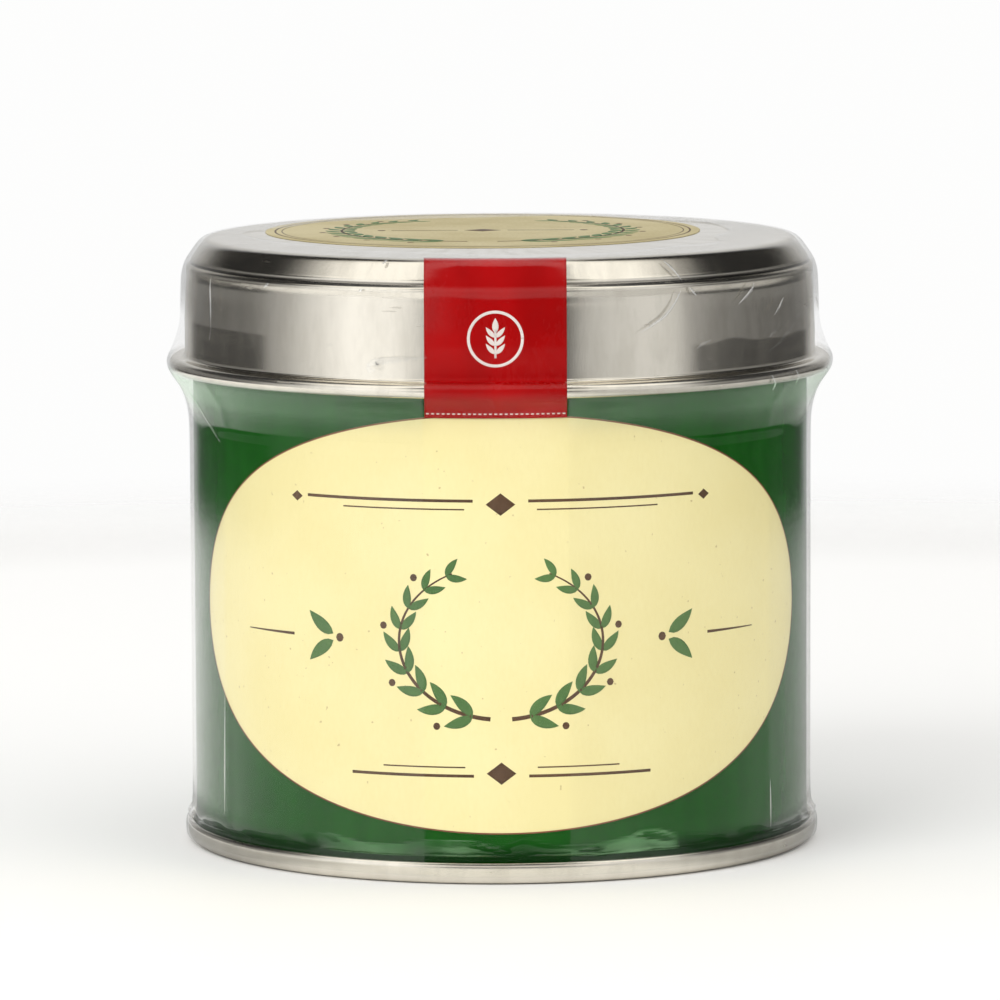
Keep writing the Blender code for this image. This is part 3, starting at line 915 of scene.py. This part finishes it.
@dataclass
class BaseEnd:
    """The bare base end: double seam, countersink and stepped panel."""

    seam: float = 37.8
    seam_top: float = 2.62
    sheet: float = 0.25
    panel: float = 3.5
    step: float = 0.4
    chuck: float = 36.2

    def outline(self) -> np.ndarray:
        """The end's outside path, from the axis outwards, as seen from below."""
        corners = [(0.0, self.panel + self.step, 0.0), (9.0, self.panel + self.step, 0.3)]
        corners += [(9.6, self.panel + self.step - 0.16, 0.25), (23.4, self.panel + self.step - 0.16, 0.5)]
        corners += [(24.4, self.panel, 0.5), (34.6, self.panel, 0.6), (35.3, self.panel - 0.45, 0.5)]
        corners += [(35.95, self.panel - 0.45, 0.4), (self.chuck, 0.45, 0.5), (36.45, 0.0, 0.4)]
        corners += [(37.2, 0.0, 0.55), (self.seam, 0.75, 0.6), (self.seam, self.seam_top - 0.3, 0.14)]
        corners += [(self.seam - 0.3, self.seam_top - 0.03, 0.14), (37.3, self.seam_top, 0.15)]
        corners += [(36.95, self.seam_top - 0.25, 0.1)]
        return thinned(eased(resampled(rounded(corners), 0.22), 2), 10)

    def build(self) -> None:
        """Builds and dresses the base end."""
        outside = self.outline()[::-1]
        section = thick_loop(outside, self.sheet)
        section[-1, 0] = 0.0
        flipped = np.concatenate([section[len(outside) - 1 :: -1], section[: len(outside) - 1 : -1]])
        flipped[0, 0] = flipped[-1, 0] = 0.0
        piece = turned("can_base", flipped, True, self.wander)
        settle(piece, Tinplate(name="base_tinplate", rough=0.17, dents=0.3), Slot.BASE, "base_end")

    def wander(self, angle: np.ndarray, radius: np.ndarray, height: np.ndarray) -> np.ndarray:
        """Slight waviness of the rolled seam, outermost only."""
        return 0.02 * (ripple(angle, 5, 3, 17, 3) - 1.5) * smooth((radius - 37.4) / 0.3)


@dataclass
class Lid:
    """The slip lid: level top, sloping shoulder, groove, skirt and rolled bead."""

    top: float = 72.36
    flat: float = 34.8
    skirt: float = 37.8
    sheet: float = 0.25
    foot: float = 58.96
    lean: float = 0.048
    bead_centre: tuple[float, float] = (38.68, 57.39)
    bead: float = 0.88

    def outline(self) -> np.ndarray:
        """The lid's outside path, from the axis outwards and down over the bead."""
        corners = [(0.0, self.top, 0.0), (self.flat, self.top, 0.35), (self.flat + 0.55, self.top - 0.28, 0.5)]
        corners += [(36.95, 69.84, 0.2), (36.84, 69.54, 0.12), (37.26, 69.26, 0.12), (37.56, 69.0, 0.16)]
        path = rounded(corners + [(self.skirt - 0.09, 66.9, 0.8), (self.skirt - 0.08, 66.0, 0.0)])
        path += [(self.skirt - 0.08, float(height)) for height in np.linspace(65.7, self.foot - 0.36, 22)]
        path += [(self.skirt - 0.05, self.foot - 0.48), (self.skirt + 0.06, self.foot - 0.58)]
        path += [(self.skirt + 0.3, self.foot - 0.67)]
        path += arc(self.bead_centre, self.bead, 104, -110, 22)
        return thinned(eased(resampled(path, 0.16), 1), 12)

    def drawn_in(self, angle: np.ndarray, height: np.ndarray) -> np.ndarray:
        """Lean of the skirt above its waist, outwards positive.

        Args:
            angle: Angle from the front, in radians.
            height: Height of the point.

        Returns:
            The shift of the radius, in millimetres.
        """
        waist = 62.4 - 0.6 * np.sin(angle) + 0.3 * ripple(angle, 5, 9, 31, 12) * smooth(np.sin(angle) * 3)
        over = np.clip(height - waist, 0, 67.4 - waist)
        return -self.lean * over * smooth((69.4 - height) / 1.8)

    def wander(self, angle: np.ndarray, radius: np.ndarray, height: np.ndarray) -> np.ndarray:
        """Lean and slight waviness of the skirt and bead."""
        soft = band(height, 56.2, 67.6, 0.8)
        moved = 0.012 * ripple(angle, 6, 4, 15, 11) * soft + self.drawn_in(angle, height)
        return moved * smooth((radius - 36.9) / 0.2)

    def build(self) -> None:
        """Builds and dresses the lid."""
        section = thick_loop(self.outline(), self.sheet)
        section[0, 0] = section[-1, 0] = 0.0
        piece = turned("lid_shell", section, True, self.wander)
        # The lid's tinplate carries a painted dark shade line along its groove.
        settle(piece, Tinplate(name="lid_tinplate", line=0.06956), Slot.LID, "lid")


@dataclass
class Wreath:
    """An open wreath of leaves and berries, for either label."""

    across: float = 12.0
    tall: float = 9.0
    leaf: float = 3.6
    pairs: int = 9

    def draw(self, stems: Artwork, leaves: Artwork, centre: tuple[float, float]) -> None:
        """Draws both halves of the wreath.

        Args:
            stems: Takes the stems and berries.
            leaves: Takes the leaves.
            centre: Centre of the wreath.
        """
        for side in (-1, 1):
            turns = np.radians(np.linspace(-84, 62, 40))
            line = [(centre[0] + side * self.across * math.cos(a), centre[1] + self.tall * math.sin(a)) for a in turns]
            stems.stroke(line, np.linspace(0.5, 0.16, len(line)))
            for number in range(self.pairs):
                a = math.radians(-74 + number * 132 / (self.pairs - 1))
                root = (centre[0] + side * self.across * math.cos(a), centre[1] + self.tall * math.sin(a))
                ahead = math.degrees(math.atan2(self.tall * math.cos(a), -side * self.across * math.sin(a)))
                size = self.leaf * (1.0 - 0.35 * number / self.pairs)
                for lean in (-1, 1):
                    leaves.leaf(root, ahead + lean * 42, size, size * 0.36, -lean * 24)
                if number % 2:
                    out = math.radians(ahead - side * 90)
                    stems.dot((root[0] + math.cos(out) * size * 0.72, root[1] + math.sin(out) * size * 0.72), 0.42)


def brown_ink() -> Ink:
    """The dark brown ink of the labels."""
    return Ink(name="brown_ink", colour=(0.070, 0.034, 0.014), faded=(0.12, 0.062, 0.028))


def green_ink() -> Ink:
    """The green ink of the labels."""
    return Ink(name="green_ink", colour=(0.055, 0.14, 0.035), faded=(0.10, 0.20, 0.055))


@dataclass
class FrontLabel:
    """The large oval paper label, with a fine edge line and a plain printed ornament."""

    middle: float = 30.24
    half_height: float = 24.46
    half_width: float = 44.6
    face: float = 36.92
    back: float = 36.80

    def paper(self) -> bpy.types.Object:
        """The sheet, wrapped on the can wall."""
        turn = np.linspace(0, 2 * math.pi, 220, endpoint=False)[:, None]
        share = np.concatenate([np.linspace(0, 0.994, 34), [1.0, 1.0], np.linspace(0.994, 0, 34)])[None]
        radius = np.concatenate([np.full(34, self.face), [self.face - 0.02, self.back], np.full(34, self.back)])[None]
        across = share * self.half_width * np.cos(turn) / self.face
        up = self.middle + share * self.half_height * np.sin(turn)
        radius = np.broadcast_to(radius, across.shape)
        grid = np.stack([radius * np.sin(across), -radius * np.cos(across), up], axis=-1)
        return ring_mesh("front_label_paper", grid, True)

    def build(self) -> None:
        """Builds the sheet and its printing."""
        settle(self.paper(), LabelPaper(), Slot.LABEL, "front_label")
        wall = on_wall(self.face)
        edge, brown, green = (Artwork(wall, 0.012) for _ in range(3))
        edge.loop((0, self.middle), self.half_width - 0.09, self.half_height - 0.09, 0.16, 260)
        Wreath().draw(brown, green, (0.0, 28.2))
        for side in (-1, 1):
            brown.stroke([(side * s, 44.6) for s in np.linspace(3.2, 24.0, 24)], 0.34)
            brown.stroke([(side * s, 43.6) for s in np.linspace(4.2, 19.0, 20)], 0.16)
            brown.diamond((side * 25.6, 44.4), 1.6, 1.2)
            brown.stroke([(side * s, 12.6) for s in np.linspace(3.2, 18.0, 20)], 0.34)
            brown.stroke([(side * s, 13.6) for s in np.linspace(4.2, 14.0, 16)], 0.16)
            green.leaf((side * 20.5, 28.6), 90 - side * 62, 4.2, 1.5, side * 20)
            green.leaf((side * 20.5, 27.8), 270 + side * 62, 4.2, 1.5, -side * 20)
            brown.dot((side * 19.6, 28.2), 0.5)
            brown.stroke([(side * s, 28.2) for s in np.linspace(26.2, 34.0, 12)], np.linspace(0.34, 0.12, 12))
        brown.diamond((0.0, 44.2), 3.4, 2.6)
        brown.diamond((0.0, 12.9), 3.4, 2.6)
        settle(edge.piece("front_label_edge_line"), Ink(name="rust_ink", colour=(0.17, 0.045, 0.02), faded=(0.24, 0.08, 0.03)), Slot.LABEL)
        settle(brown.piece("front_label_brown_print"), brown_ink(), Slot.LABEL)
        settle(green.piece("front_label_green_print"), green_ink(), Slot.LABEL)


@dataclass
class LidLabel:
    """The round paper label on the lid, set off centre, with ring lines and a wreath."""

    radius: float = 26.2
    centre: tuple[float, float] = (-2.0, 7.0)
    low: float = 72.37
    face: float = 72.42

    def build(self) -> None:
        """Builds the sheet and its printing."""
        turn = np.linspace(0, 2 * math.pi, 220, endpoint=False)[:, None]
        share = np.concatenate([np.linspace(0, 0.995, 24), [1.0, 1.0], np.linspace(0.995, 0, 24)])[None] * self.radius
        height = np.concatenate([np.full(24, self.face), [self.face - 0.015, self.low], np.full(24, self.low)])[None]
        height = np.broadcast_to(height, (220, height.shape[1]))
        grid = np.stack([self.centre[0] + share * np.sin(turn), self.centre[1] - share * np.cos(turn), height], axis=-1)
        sheet = ring_mesh("lid_label_sheet", grid, True)
        # Painted shade: the lid label's paper is a darker, browner copy of the cream label paper, standing in for the
        # shade on it seen at a glance under the film.
        finish = LabelPaper(name="lid_label_paper", colour=(0.56, 0.475, 0.235), shade=(0.43, 0.355, 0.155))
        settle(sheet, finish, Slot.LID_LABEL, "lid_label")
        brown, green = (Artwork(on_top(self.face, self.centre), 0.012) for _ in range(2))
        brown.loop((0, 0), 25.0, 25.0, 0.22)
        brown.loop((0, 0), 24.2, 24.2, 0.12)
        Wreath(across=17.0, tall=17.0, leaf=4.0, pairs=15).draw(brown, green, (0.0, 0.0))
        for side in (-1, 1):
            brown.stroke([(side * s, 0.0) for s in np.linspace(3.0, 11.0, 12)], 0.34)
            brown.dot((side * 12.2, 0.0), 0.5)
        brown.diamond((0.0, 0.0), 4.4, 3.4)
        settle(brown.piece("lid_label_brown_print"), brown_ink(), Slot.LID_LABEL)
        settle(green.piece("lid_label_green_print"), green_ink(), Slot.LID_LABEL)


@dataclass
class SealStrip:
    """The red seal pressed down over the lid's front edge, bead and can."""

    centre: float = -0.5
    half: float = 8.2
    sheet: float = 0.06
    gap: float = 0.015
    inner: float = 34.3
    foot: float = 54.2

    def path(self, lid: Lid) -> np.ndarray:
        """The strip's outer path, laid on the lid's outline and down to the can.

        Args:
            lid: The lid that it lies on.

        Returns:
            Radius and height of each point.
        """
        hull = lid.outline()
        hull[:, 0] += lid.drawn_in(np.zeros(len(hull)), hull[:, 1]) * smooth((hull[:, 0] - 36.9) / 0.2)
        hull = hull[hull[:, 0] >= self.inner]
        keep = [hull[0]]
        for point in hull[1:]:
            pressed = 69.1 < point[1] < 70.0
            if point[1] < 56.69 or pressed:
                continue
            keep.append(point)
        ends = [(38.6, 56.19), (37.75, 55.4), (37.2, 54.85), (37.07, self.foot)]
        path = eased(resampled([tuple(p) for p in keep] + ends, 0.28), 2)
        clear = self.gap + self.sheet + 0.04 * band(path[:, 1:2], 56.3, 58.3, 0.5)
        return path + normals(path) * clear

    def place(self, path: np.ndarray) -> Place:
        """Mapping on to the strip: distance across, height on the front, and distance off it."""
        order = path[::-1]

        def place(across: np.ndarray, up: np.ndarray, off: np.ndarray) -> np.ndarray:
            """Points on the strip's face."""
            radius = np.interp(up, order[:, 1], order[:, 0]) + off
            x = self.centre + across
            return np.stack([x, -np.sqrt(radius ** 2 - x ** 2), up + 0 * radius], axis=-1)

        return place

    def build(self, lid: Lid) -> None:
        """Builds the strip and its printing on the lid."""
        path = self.path(lid)
        across = np.linspace(-self.half, self.half, 41)[None] + self.centre
        wave = 0.02 * np.sin(across * 1.1 + 0.6) * band(path[:, 1:2], 59.3, 66.9, 1.5)
        sides = []
        for depth in (0.0, self.sheet):
            line = path - normals(path) * depth
            radius = line[:, 0:1] + wave
            sides.append(np.stack([across + 0 * radius, -np.sqrt(radius ** 2 - across ** 2), line[:, 1:2] + 0 * radius], axis=-1))
        faces = slab_faces(len(path), across.shape[1], 0)
        strip = finish_mesh("seal_strip_tape", np.concatenate([side.reshape(-1, 3) for side in sides]), faces)
        settle(strip, SealTape(), Slot.SEAL, "seal_strip")
        white = Artwork(self.place(path), 0.03)
        middle = 63.4
        white.loop((0.0, middle), 3.1, 3.1, 0.34, 72)
        white.stroke([(0.0, z) for z in np.linspace(middle - 2.2, middle + 1.1, 8)], 0.26)
        white.leaf((0.0, middle + 0.7), 90, 1.7, 0.75)
        for number in range(3):
            for side in (-1, 1):
                white.leaf((0.0, middle - 1.7 + number * 0.95), 90 - side * 52, 1.6, 0.55, side * 20)
        for number in range(27):
            x = -self.half + 0.35 + number * (2 * self.half - 0.7) / 26
            white.stroke([(x - 0.17, 54.7), (x, 54.7), (x + 0.17, 54.7)], 0.16)
        settle(white.piece("seal_strip_white_print"), Ink(name="white_ink", colour=(0.82, 0.78, 0.74), faded=(0.7, 0.62, 0.58)), Slot.SEAL)


@dataclass
class ShrinkFilm:
    """The clear film shrunk over the whole tin, with its sleeve folds, waves and pinched creases."""

    sheet: float = 0.05
    folds: tuple[float, float] = (-60.5, 57.6)
    wall: float = 37.24
    # Height at which the film leaves the wall above the base seam, by degrees round from the front.
    edge: tuple[tuple[float, float], ...] = (
        (-180, 4.3), (-160, 5.2), (-140, 4.0), (-118, 5.4), (-100, 3.9), (-88, 4.6), (-76, 3.6), (-56, 3.9),
        (-47, 3.6), (-42, 4.2), (-32, 4.7), (-27, 3.9), (-19, 3.8), (-15, 4.4), (-8, 4.6), (-4, 4.2), (0, 3.9),
        (4, 4.6), (8.5, 4.0), (14, 3.7), (20, 4.1), (25.5, 5.15), (30, 5.05), (34, 4.3), (41, 3.7), (47, 3.9),
        (55, 4.4), (58, 3.5), (70, 3.7), (86, 4.9), (104, 3.8), (124, 5.0), (148, 3.9), (166, 4.8), (180, 4.3),
    )
    # Pinched creases: degrees round from the front and height of each point.
    creases: tuple[tuple[tuple[float, float], ...], ...] = (
        ((31.4, 71.96), (32.8, 70.92), (34.0, 69.56)),
        ((33.5, 68.44), (31.8, 66.78), (29.9, 65.45), (26.9, 64.39), (24.4, 63.54)),
        ((35.4, 68.72), (36.7, 67.64)),
        ((51.3, 68.77), (50.9, 67.98), (48.9, 67.14), (46.7, 66.3)),
        ((60.7, 66.44), (59.2, 65.46), (57.0, 64.52)),
        ((67.2, 64.08), (65.2, 63.25), (62.6, 62.45), (58.1, 61.3), (54.1, 60.48)),
        ((57.7, 62.84), (55.3, 62.03)),
        ((40.0, 62.52), (38.1, 62.14), (36.2, 61.53)),
        ((52.6, 57.81), (54.2, 56.65), (54.4, 55.79)),
        ((60.4, 57.94), (61.7, 57.03), (61.5, 56.2)),
        ((-63.4, 68.93), (-62.5, 66.27), (-62.1, 61.59)),
        ((-73.0, 54.79), (-69.3, 52.26), (-62.0, 49.5)),
        ((-46.1, 68.42), (-45.1, 69.02)),
        ((-25.3, 68.6), (-24.6, 68.95)),
        ((-21.9, 71.75), (-21.2, 72.18)),
        ((-22.9, 60.1), (-22.6, 60.4), (-21.7, 60.7), (-17.3, 61.0), (-12.4, 61.3)),
        ((-23.1, 60.5), (-22.9, 60.0), (-22.2, 59.7), (-21.4, 59.8)),
        ((-61.4, 5.3), (-61.2, 9.0), (-61.0, 14.0), (-60.8, 20.0)),
        ((58.4, 3.6), (58.2, 6.0), (58.1, 9.5)),
    )
    widths: dict[int, float] = field(default_factory=lambda: {15: 0.9, 16: 0.7, 17: 0.16, 18: 0.2})
    back_creases: int = 16

    def outline(self) -> np.ndarray:
        """The film's outer path, from its edge on the top down to the base seam."""
        corners = [(28.5, 72.49, 0.0), (35.2, 72.49, 0.4), (36.0, 72.02, 0.6), (37.72, 69.55, 0.5)]
        corners += [(38.09, 68.2, 0.8), (38.28, 62.0, 1.2), (39.2, 59.4, 0.9), (39.9, 58.1, 0.4)]
        corners += [(39.98, 57.34, 0.4), (39.7, 56.6, 0.4), (38.3, 54.7, 0.9), (37.6, 52.9, 0.9)]
        corners += [(37.30, 50.9, 0.9), (self.wall, 48.0, 0.9), (self.wall, 2.9, 0.0), (37.93, 2.75, 0.1)]
        corners += [(38.06, 2.3, 0.3), (38.08, 1.5, 0.4), (38.0, 0.75, 0.0)]
        return eased(resampled(rounded(corners), 0.33), 3)

    def sampled(self) -> np.ndarray:
        """The outer path with few points on the long straight wall."""
        path = self.outline()
        wall = (path[:, 1] < 49.2) & (path[:, 1] > 9.5)
        keep = ~wall
        keep[np.flatnonzero(wall)[::9]] = True
        return path[keep]

    def shift(self, angle: np.ndarray, height: np.ndarray, radius: np.ndarray) -> np.ndarray:
        """Outward movement of the film at each point.

        Args:
            angle: Angle from the front, in radians.
            height: Height of the point.
            radius: Radius of the point.

        Returns:
            The shift along the film's normal, in millimetres.
        """
        turn = np.degrees(np.remainder(angle + math.pi, 2 * math.pi) - math.pi)
        line = np.array(self.edge)
        edge = np.interp(turn, line[:, 0], line[:, 1]) + 0.10 * ripple(angle, 4, 23, 47, 9)
        share = np.clip((edge - height) / np.maximum(edge - 2.75, 0.4), 0, 1)
        lip = 0.07 * np.exp(-(((height - edge) / 0.4) ** 2))
        crumple = 0.20 * ripple(angle + 0.05 * height, 6, 13, 47, 8) * share * (1 - share) * 2.4
        base = np.where(height > 2.85, 0.62 * share ** 1.3 + lip + crumple, 0.0)
        pleat = 0.010 * ripple(angle, 6, 9, 30, 2) * band(height, 51.2, 56.2, 1.2)
        slack = 0.05 * ripple(angle, 5, 3, 19, 4) * band(height, 59.6, 67.3, 1.5)
        wall = 0.012 * ripple(angle, 5, 2, 11, 6) * band(height, 8.0, 50.0, 4.0)
        front = smooth((72.0 - np.abs(turn)) / 14.0) * band(height, 51.4, 53.2, 1.7)
        return base + pleat + slack + wall - 0.2 * front + self.sleeve(angle) * band(height, 5.0, 66.8, 2.0)

    def sleeve(self, angle: np.ndarray) -> np.ndarray:
        """Flattened fold lines that run down the film at both sides."""
        turn = np.degrees(np.remainder(angle + math.pi, 2 * math.pi) - math.pi)
        rise = np.zeros_like(turn)
        for fold in self.folds:
            side = math.copysign(1.0, fold)
            away = (turn - fold) * side
            rise += 0.07 * np.exp(-np.abs(away) / 1.1) + 0.05 * band(away, 0.0, 20.0, 3.0)
        return rise

    def on_film(self) -> Place:
        """Mapping on to the film: length round at the wall's radius, height, and distance off the film."""
        path = self.sampled()[::-1]

        def place(across: np.ndarray, up: np.ndarray, off: np.ndarray) -> np.ndarray:
            """Points on the film."""
            turn = across / self.wall
            radius = np.interp(up, path[:, 1], path[:, 0])
            far = radius + self.shift(turn, up, radius) + off
            return np.stack([far * np.sin(turn), -far * np.cos(turn), up + 0 * far], axis=-1)

        return place

    def pinch(self) -> bpy.types.Object:
        """The pinched creases, seen ones first and then a few drawn at random round the back."""
        work = Artwork(self.on_film(), 0.0, 0.11)
        draw = np.random.default_rng(RNG_SEED)
        lines = [list(line) for line in self.creases]
        for _ in range(self.back_creases):
            turn, high = draw.uniform(80, 280), draw.choice([56.8, 61.0, 63.5, 67.0])
            lean, tall = draw.uniform(-5, 5), draw.uniform(0.8, 2.6)
            lines.append([(turn, high), (turn + lean * 0.4, high + tall * 0.5), (turn + lean, high + tall)])
        for number, line in enumerate(lines):
            steps = np.linspace(0, len(line) - 1, 6 * len(line))
            points = np.array(line)
            along = np.stack([np.interp(steps, range(len(line)), points[:, k]) for k in (0, 1)], axis=1)
            along = eased(along, 4)
            along[:, 0] = np.radians(along[:, 0]) * self.wall
            taper = np.sin(np.linspace(0.12, math.pi - 0.12, len(along)))
            work.stroke(along.tolist(), self.widths.get(number, 0.34) * taper)
        return work.piece("shrink_film_creases")

    def build(self) -> None:
        """Builds the film and its creases."""
        path = self.sampled()
        out = normals(path)
        turns = 352
        angle = np.linspace(0, 2 * math.pi, turns, endpoint=False)[:, None]
        radius, height = path[None, :, 0], path[None, :, 1]
        wave = sum(h * np.sin(n * angle + p) for n, h, p in ((3, 1.7, 0.7), (7, 0.85, 0.0), (11, 0.5, 2.0)))
        inner = smooth((34.6 - radius) / 6.1)
        radius = radius + wave * inner * (height > 72.3)
        shift = self.shift(angle, height, radius)
        layers = []
        for depth in (0.0, self.sheet):
            far = radius + out[None, :, 0] * (shift - depth)
            high = np.minimum(height + out[None, :, 1] * (shift - depth), 72.49)
            layers.append(np.stack([far * np.sin(angle), -far * np.cos(angle), high + 0 * far], axis=-1))
        grid = np.concatenate([layers[0], layers[1][:, ::-1]], axis=1)
        film = ring_mesh("shrink_film_sleeve", grid, False)
        settle(film, ClearFilm(), Slot.FILM, "shrink_film")
        settle(self.pinch(), ClearFilm(name="creased_film", facing_share=0.32), Slot.FILM)


@dataclass
class Contents:
    """The dried fruits inside the tin, which keep their own solids."""

    prefix: str = "long_pepper"

    def dress(self) -> None:
        """Gives each fruit its finish."""
        finish = DriedFruit().material()
        for name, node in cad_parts.items():
            if name.startswith(self.prefix):
                for number in range(max(len(node.material_slots), 1)):
                    if node.material_slots:
                        node.material_slots[number].material = finish
                    else:
                        node.data.materials.append(finish)
        LOG.info("contents: dressed")


@dataclass
class Studio:
    """Floor, soft light, surroundings and camera."""

    distance: float = 0.870
    height: float = 0.1411
    pitch: float = 6.598
    roll: float = -0.24
    lens: float = 262.44
    # Brightness of the surroundings by direction, in degrees from the camera towards the right.
    belt: tuple[tuple[float, float], ...] = (
        (-180, 0.76), (-160, 0.54), (-146, 0.20), (-105, 0.20), (-94, 0.30), (-83, 0.50), (-73, 0.78),
        (-64, 1.02), (-55, 1.24), (-38, 1.16), (-30, 0.90), (-24, 0.40), (-17, 0.06), (-8, 0.015), (23, 0.015),
        (29, 0.45), (34, 0.60), (48, 0.76), (57, 0.80), (66, 0.72), (73, 0.42), (85, 0.28), (100, 0.22),
        (146, 0.19), (160, 0.54), (180, 0.76),
    )
    brightest: float = 1.3

    def world(self) -> None:
        """Surroundings: a pale backdrop, an even soft light, and a studio that shines on glossy faces."""
        world = bpy.data.worlds.new("studio")
        bpy.context.scene.world = world
        world.use_nodes = True
        world.cycles.sampling_method = "NONE"
        g = Graph(world.node_tree)
        back = world.node_tree.nodes["Background"]
        x, y, z = g.node("SeparateXYZ", Vector=g.node("TexCoord").outputs["Generated"]).outputs
        turn = g.maths("DIVIDE", g.maths("ARCTAN2", x, g.maths("MULTIPLY", y, -1.0)), math.radians(360))
        rise = g.maths("DIVIDE", g.maths("ARCSINE", z), math.radians(1))
        stops = [(0.5 + a / 360, (v / self.brightest,) * 3) for a, v in self.belt]
        belt = g.ramp(g.maths("ADD", turn, 0.5), stops)
        aside = g.maths("ABSOLUTE", turn)
        rear = g.remap(aside, 146 / 360, 156 / 360, 1.0, 0.0)
        wider = g.maths("ADD", aside, g.remap(turn, -0.1, 0.1, 0.0, 20 / 360))
        raised = g.maths("ADD", rise, g.remap(aside, 122 / 360, 138 / 360, 0.0, 1.2))
        low = g.maths("MULTIPLY", g.remap(wider, 92 / 360, 97 / 360), g.remap(raised, -3.6, -2.6, 1.0, 0.0))
        belt = g.mix(g.maths("MULTIPLY", g.maths("MULTIPLY", low, rear), 0.72), belt, (0.0, 0.0, 0.0))
        upper = g.maths("MULTIPLY", rear, g.remap(rise, 12.0, 24.0))
        upper = g.maths("MULTIPLY", upper, g.remap(aside, 70 / 360, 86 / 360))
        belt = g.mix(g.maths("MULTIPLY", upper, 0.88), belt, (0.0, 0.0, 0.0))
        ahead = g.maths("MULTIPLY", g.remap(rise, 7.0, 13.0), g.remap(rise, 50.0, 58.0, 1.0, 0.0))
        ahead = g.maths("MULTIPLY", ahead, g.remap(aside, 40 / 360, 52 / 360, 0.6, 0.0))
        belt = g.mix(ahead, belt, (1.0, 0.985, 0.95))
        wedge = g.maths("MULTIPLY", g.remap(aside, 34 / 360, 46 / 360, 1.0, 0.0), g.remap(rise, 73.0, 78.0, 1.0, 0.0))
        above = g.mix(wedge, (1.0, 0.985, 0.95), (0.03, 0.03, 0.03))
        far = g.maths("ADD", aside, g.remap(turn, -0.1, 0.1, 0.0, 5 / 360))
        panel = g.maths("MULTIPLY", g.remap(far, 77 / 360, 113 / 360, 1.0, 0.0), g.remap(rise, 30.0, 46.0))
        glossy = g.mix(g.maths("MAXIMUM", panel, g.remap(rise, 70.0, 80.0)), belt, above)
        scaled = g.node("VectorMath", {"operation": "SCALE"}, Scale=self.brightest)
        g.give(scaled.inputs[0], glossy)
        soft = g.mix(g.remap(z, -0.2, 0.9), (0.62, 0.62, 0.61), (1.02, 1.01, 0.99))
        rays = g.node("LightPath").outputs
        seen = g.mix(rays["Is Glossy Ray"], soft, scaled.outputs[0])
        g.give(back.inputs["Color"], g.mix(rays["Is Camera Ray"], seen, (0.985, 0.985, 0.98)))

    def lights(self) -> None:
        """One large soft light from the front left and a weaker one from the right."""
        for name, place, size, power in (
            ("key_light", (-0.75, -0.95, 0.85), 0.9, 8.5),
            ("fill_light", (0.9, -0.7, 0.5), 0.8, 1.7),
        ):
            light = bpy.data.lights.new(name, "AREA")
            light.size, light.energy = size, power
            lamp = bpy.data.objects.new(name, light)
            lamp.matrix_world = Matrix.Translation(place) @ self.facing(place)
            lamp.visible_glossy = False
            lamp.visible_camera = False
            bpy.context.scene.collection.objects.link(lamp)

    def facing(self, place: tuple[float, float, float]) -> Matrix:
        """Rotation that turns a light at a place towards the tin's middle."""
        aim = Vector((0, 0, 0.035)) - Vector(place)
        return aim.to_track_quat("-Z", "Y").to_matrix().to_4x4()

    def floor(self) -> None:
        """The pale floor under the tin."""
        turn = np.linspace(0, 2 * math.pi, 96, endpoint=False)[:, None]
        share = np.array([0.0, 60.0, 160.0, 260.0, 330.0, 420.0, 420.0, 0.0])[None]
        level = np.array([-0.05] * 6 + [-2.0] * 2)[None]
        grid = np.stack([share * np.sin(turn), -share * np.cos(turn), level + 0 * share * turn], axis=-1)
        floor = ring_mesh("studio_floor", grid, True)
        floor.data.materials.append(PaleFloor().material())

    def camera(self) -> None:
        """The camera at the photograph's place."""
        data = bpy.data.cameras.new("camera")
        data.lens, data.sensor_width = self.lens, 36.0
        data.clip_start = 0.05
        camera = bpy.data.objects.new("camera", data)
        turn = Matrix.Rotation(math.radians(90 - self.pitch), 4, "X") @ Matrix.Rotation(math.radians(self.roll), 4, "Z")
        camera.matrix_world = Matrix.Translation((-0.00005, -self.distance, self.height)) @ turn
        bpy.context.scene.collection.objects.link(camera)
        bpy.context.scene.camera = camera
        bpy.context.scene.view_settings.view_transform = "Standard"

    def build(self) -> None:
        """Sets up the whole studio."""
        self.world()
        self.lights()
        self.floor()
        self.camera()
        LOG.info("studio: set")


def main() -> None:
    """Builds every sub-assembly in order."""
    logging.basicConfig(level=logging.INFO, format="%(name)s %(message)s")
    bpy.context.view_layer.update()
    lid = Lid()
    CanBody().build()
    BaseEnd().build()
    lid.build()
    FrontLabel().build()
    LidLabel().build()
    SealStrip().build(lid)
    ShrinkFilm().build()
    Contents().dress()
    Studio().build()


if __name__ == "__main__":
    main()
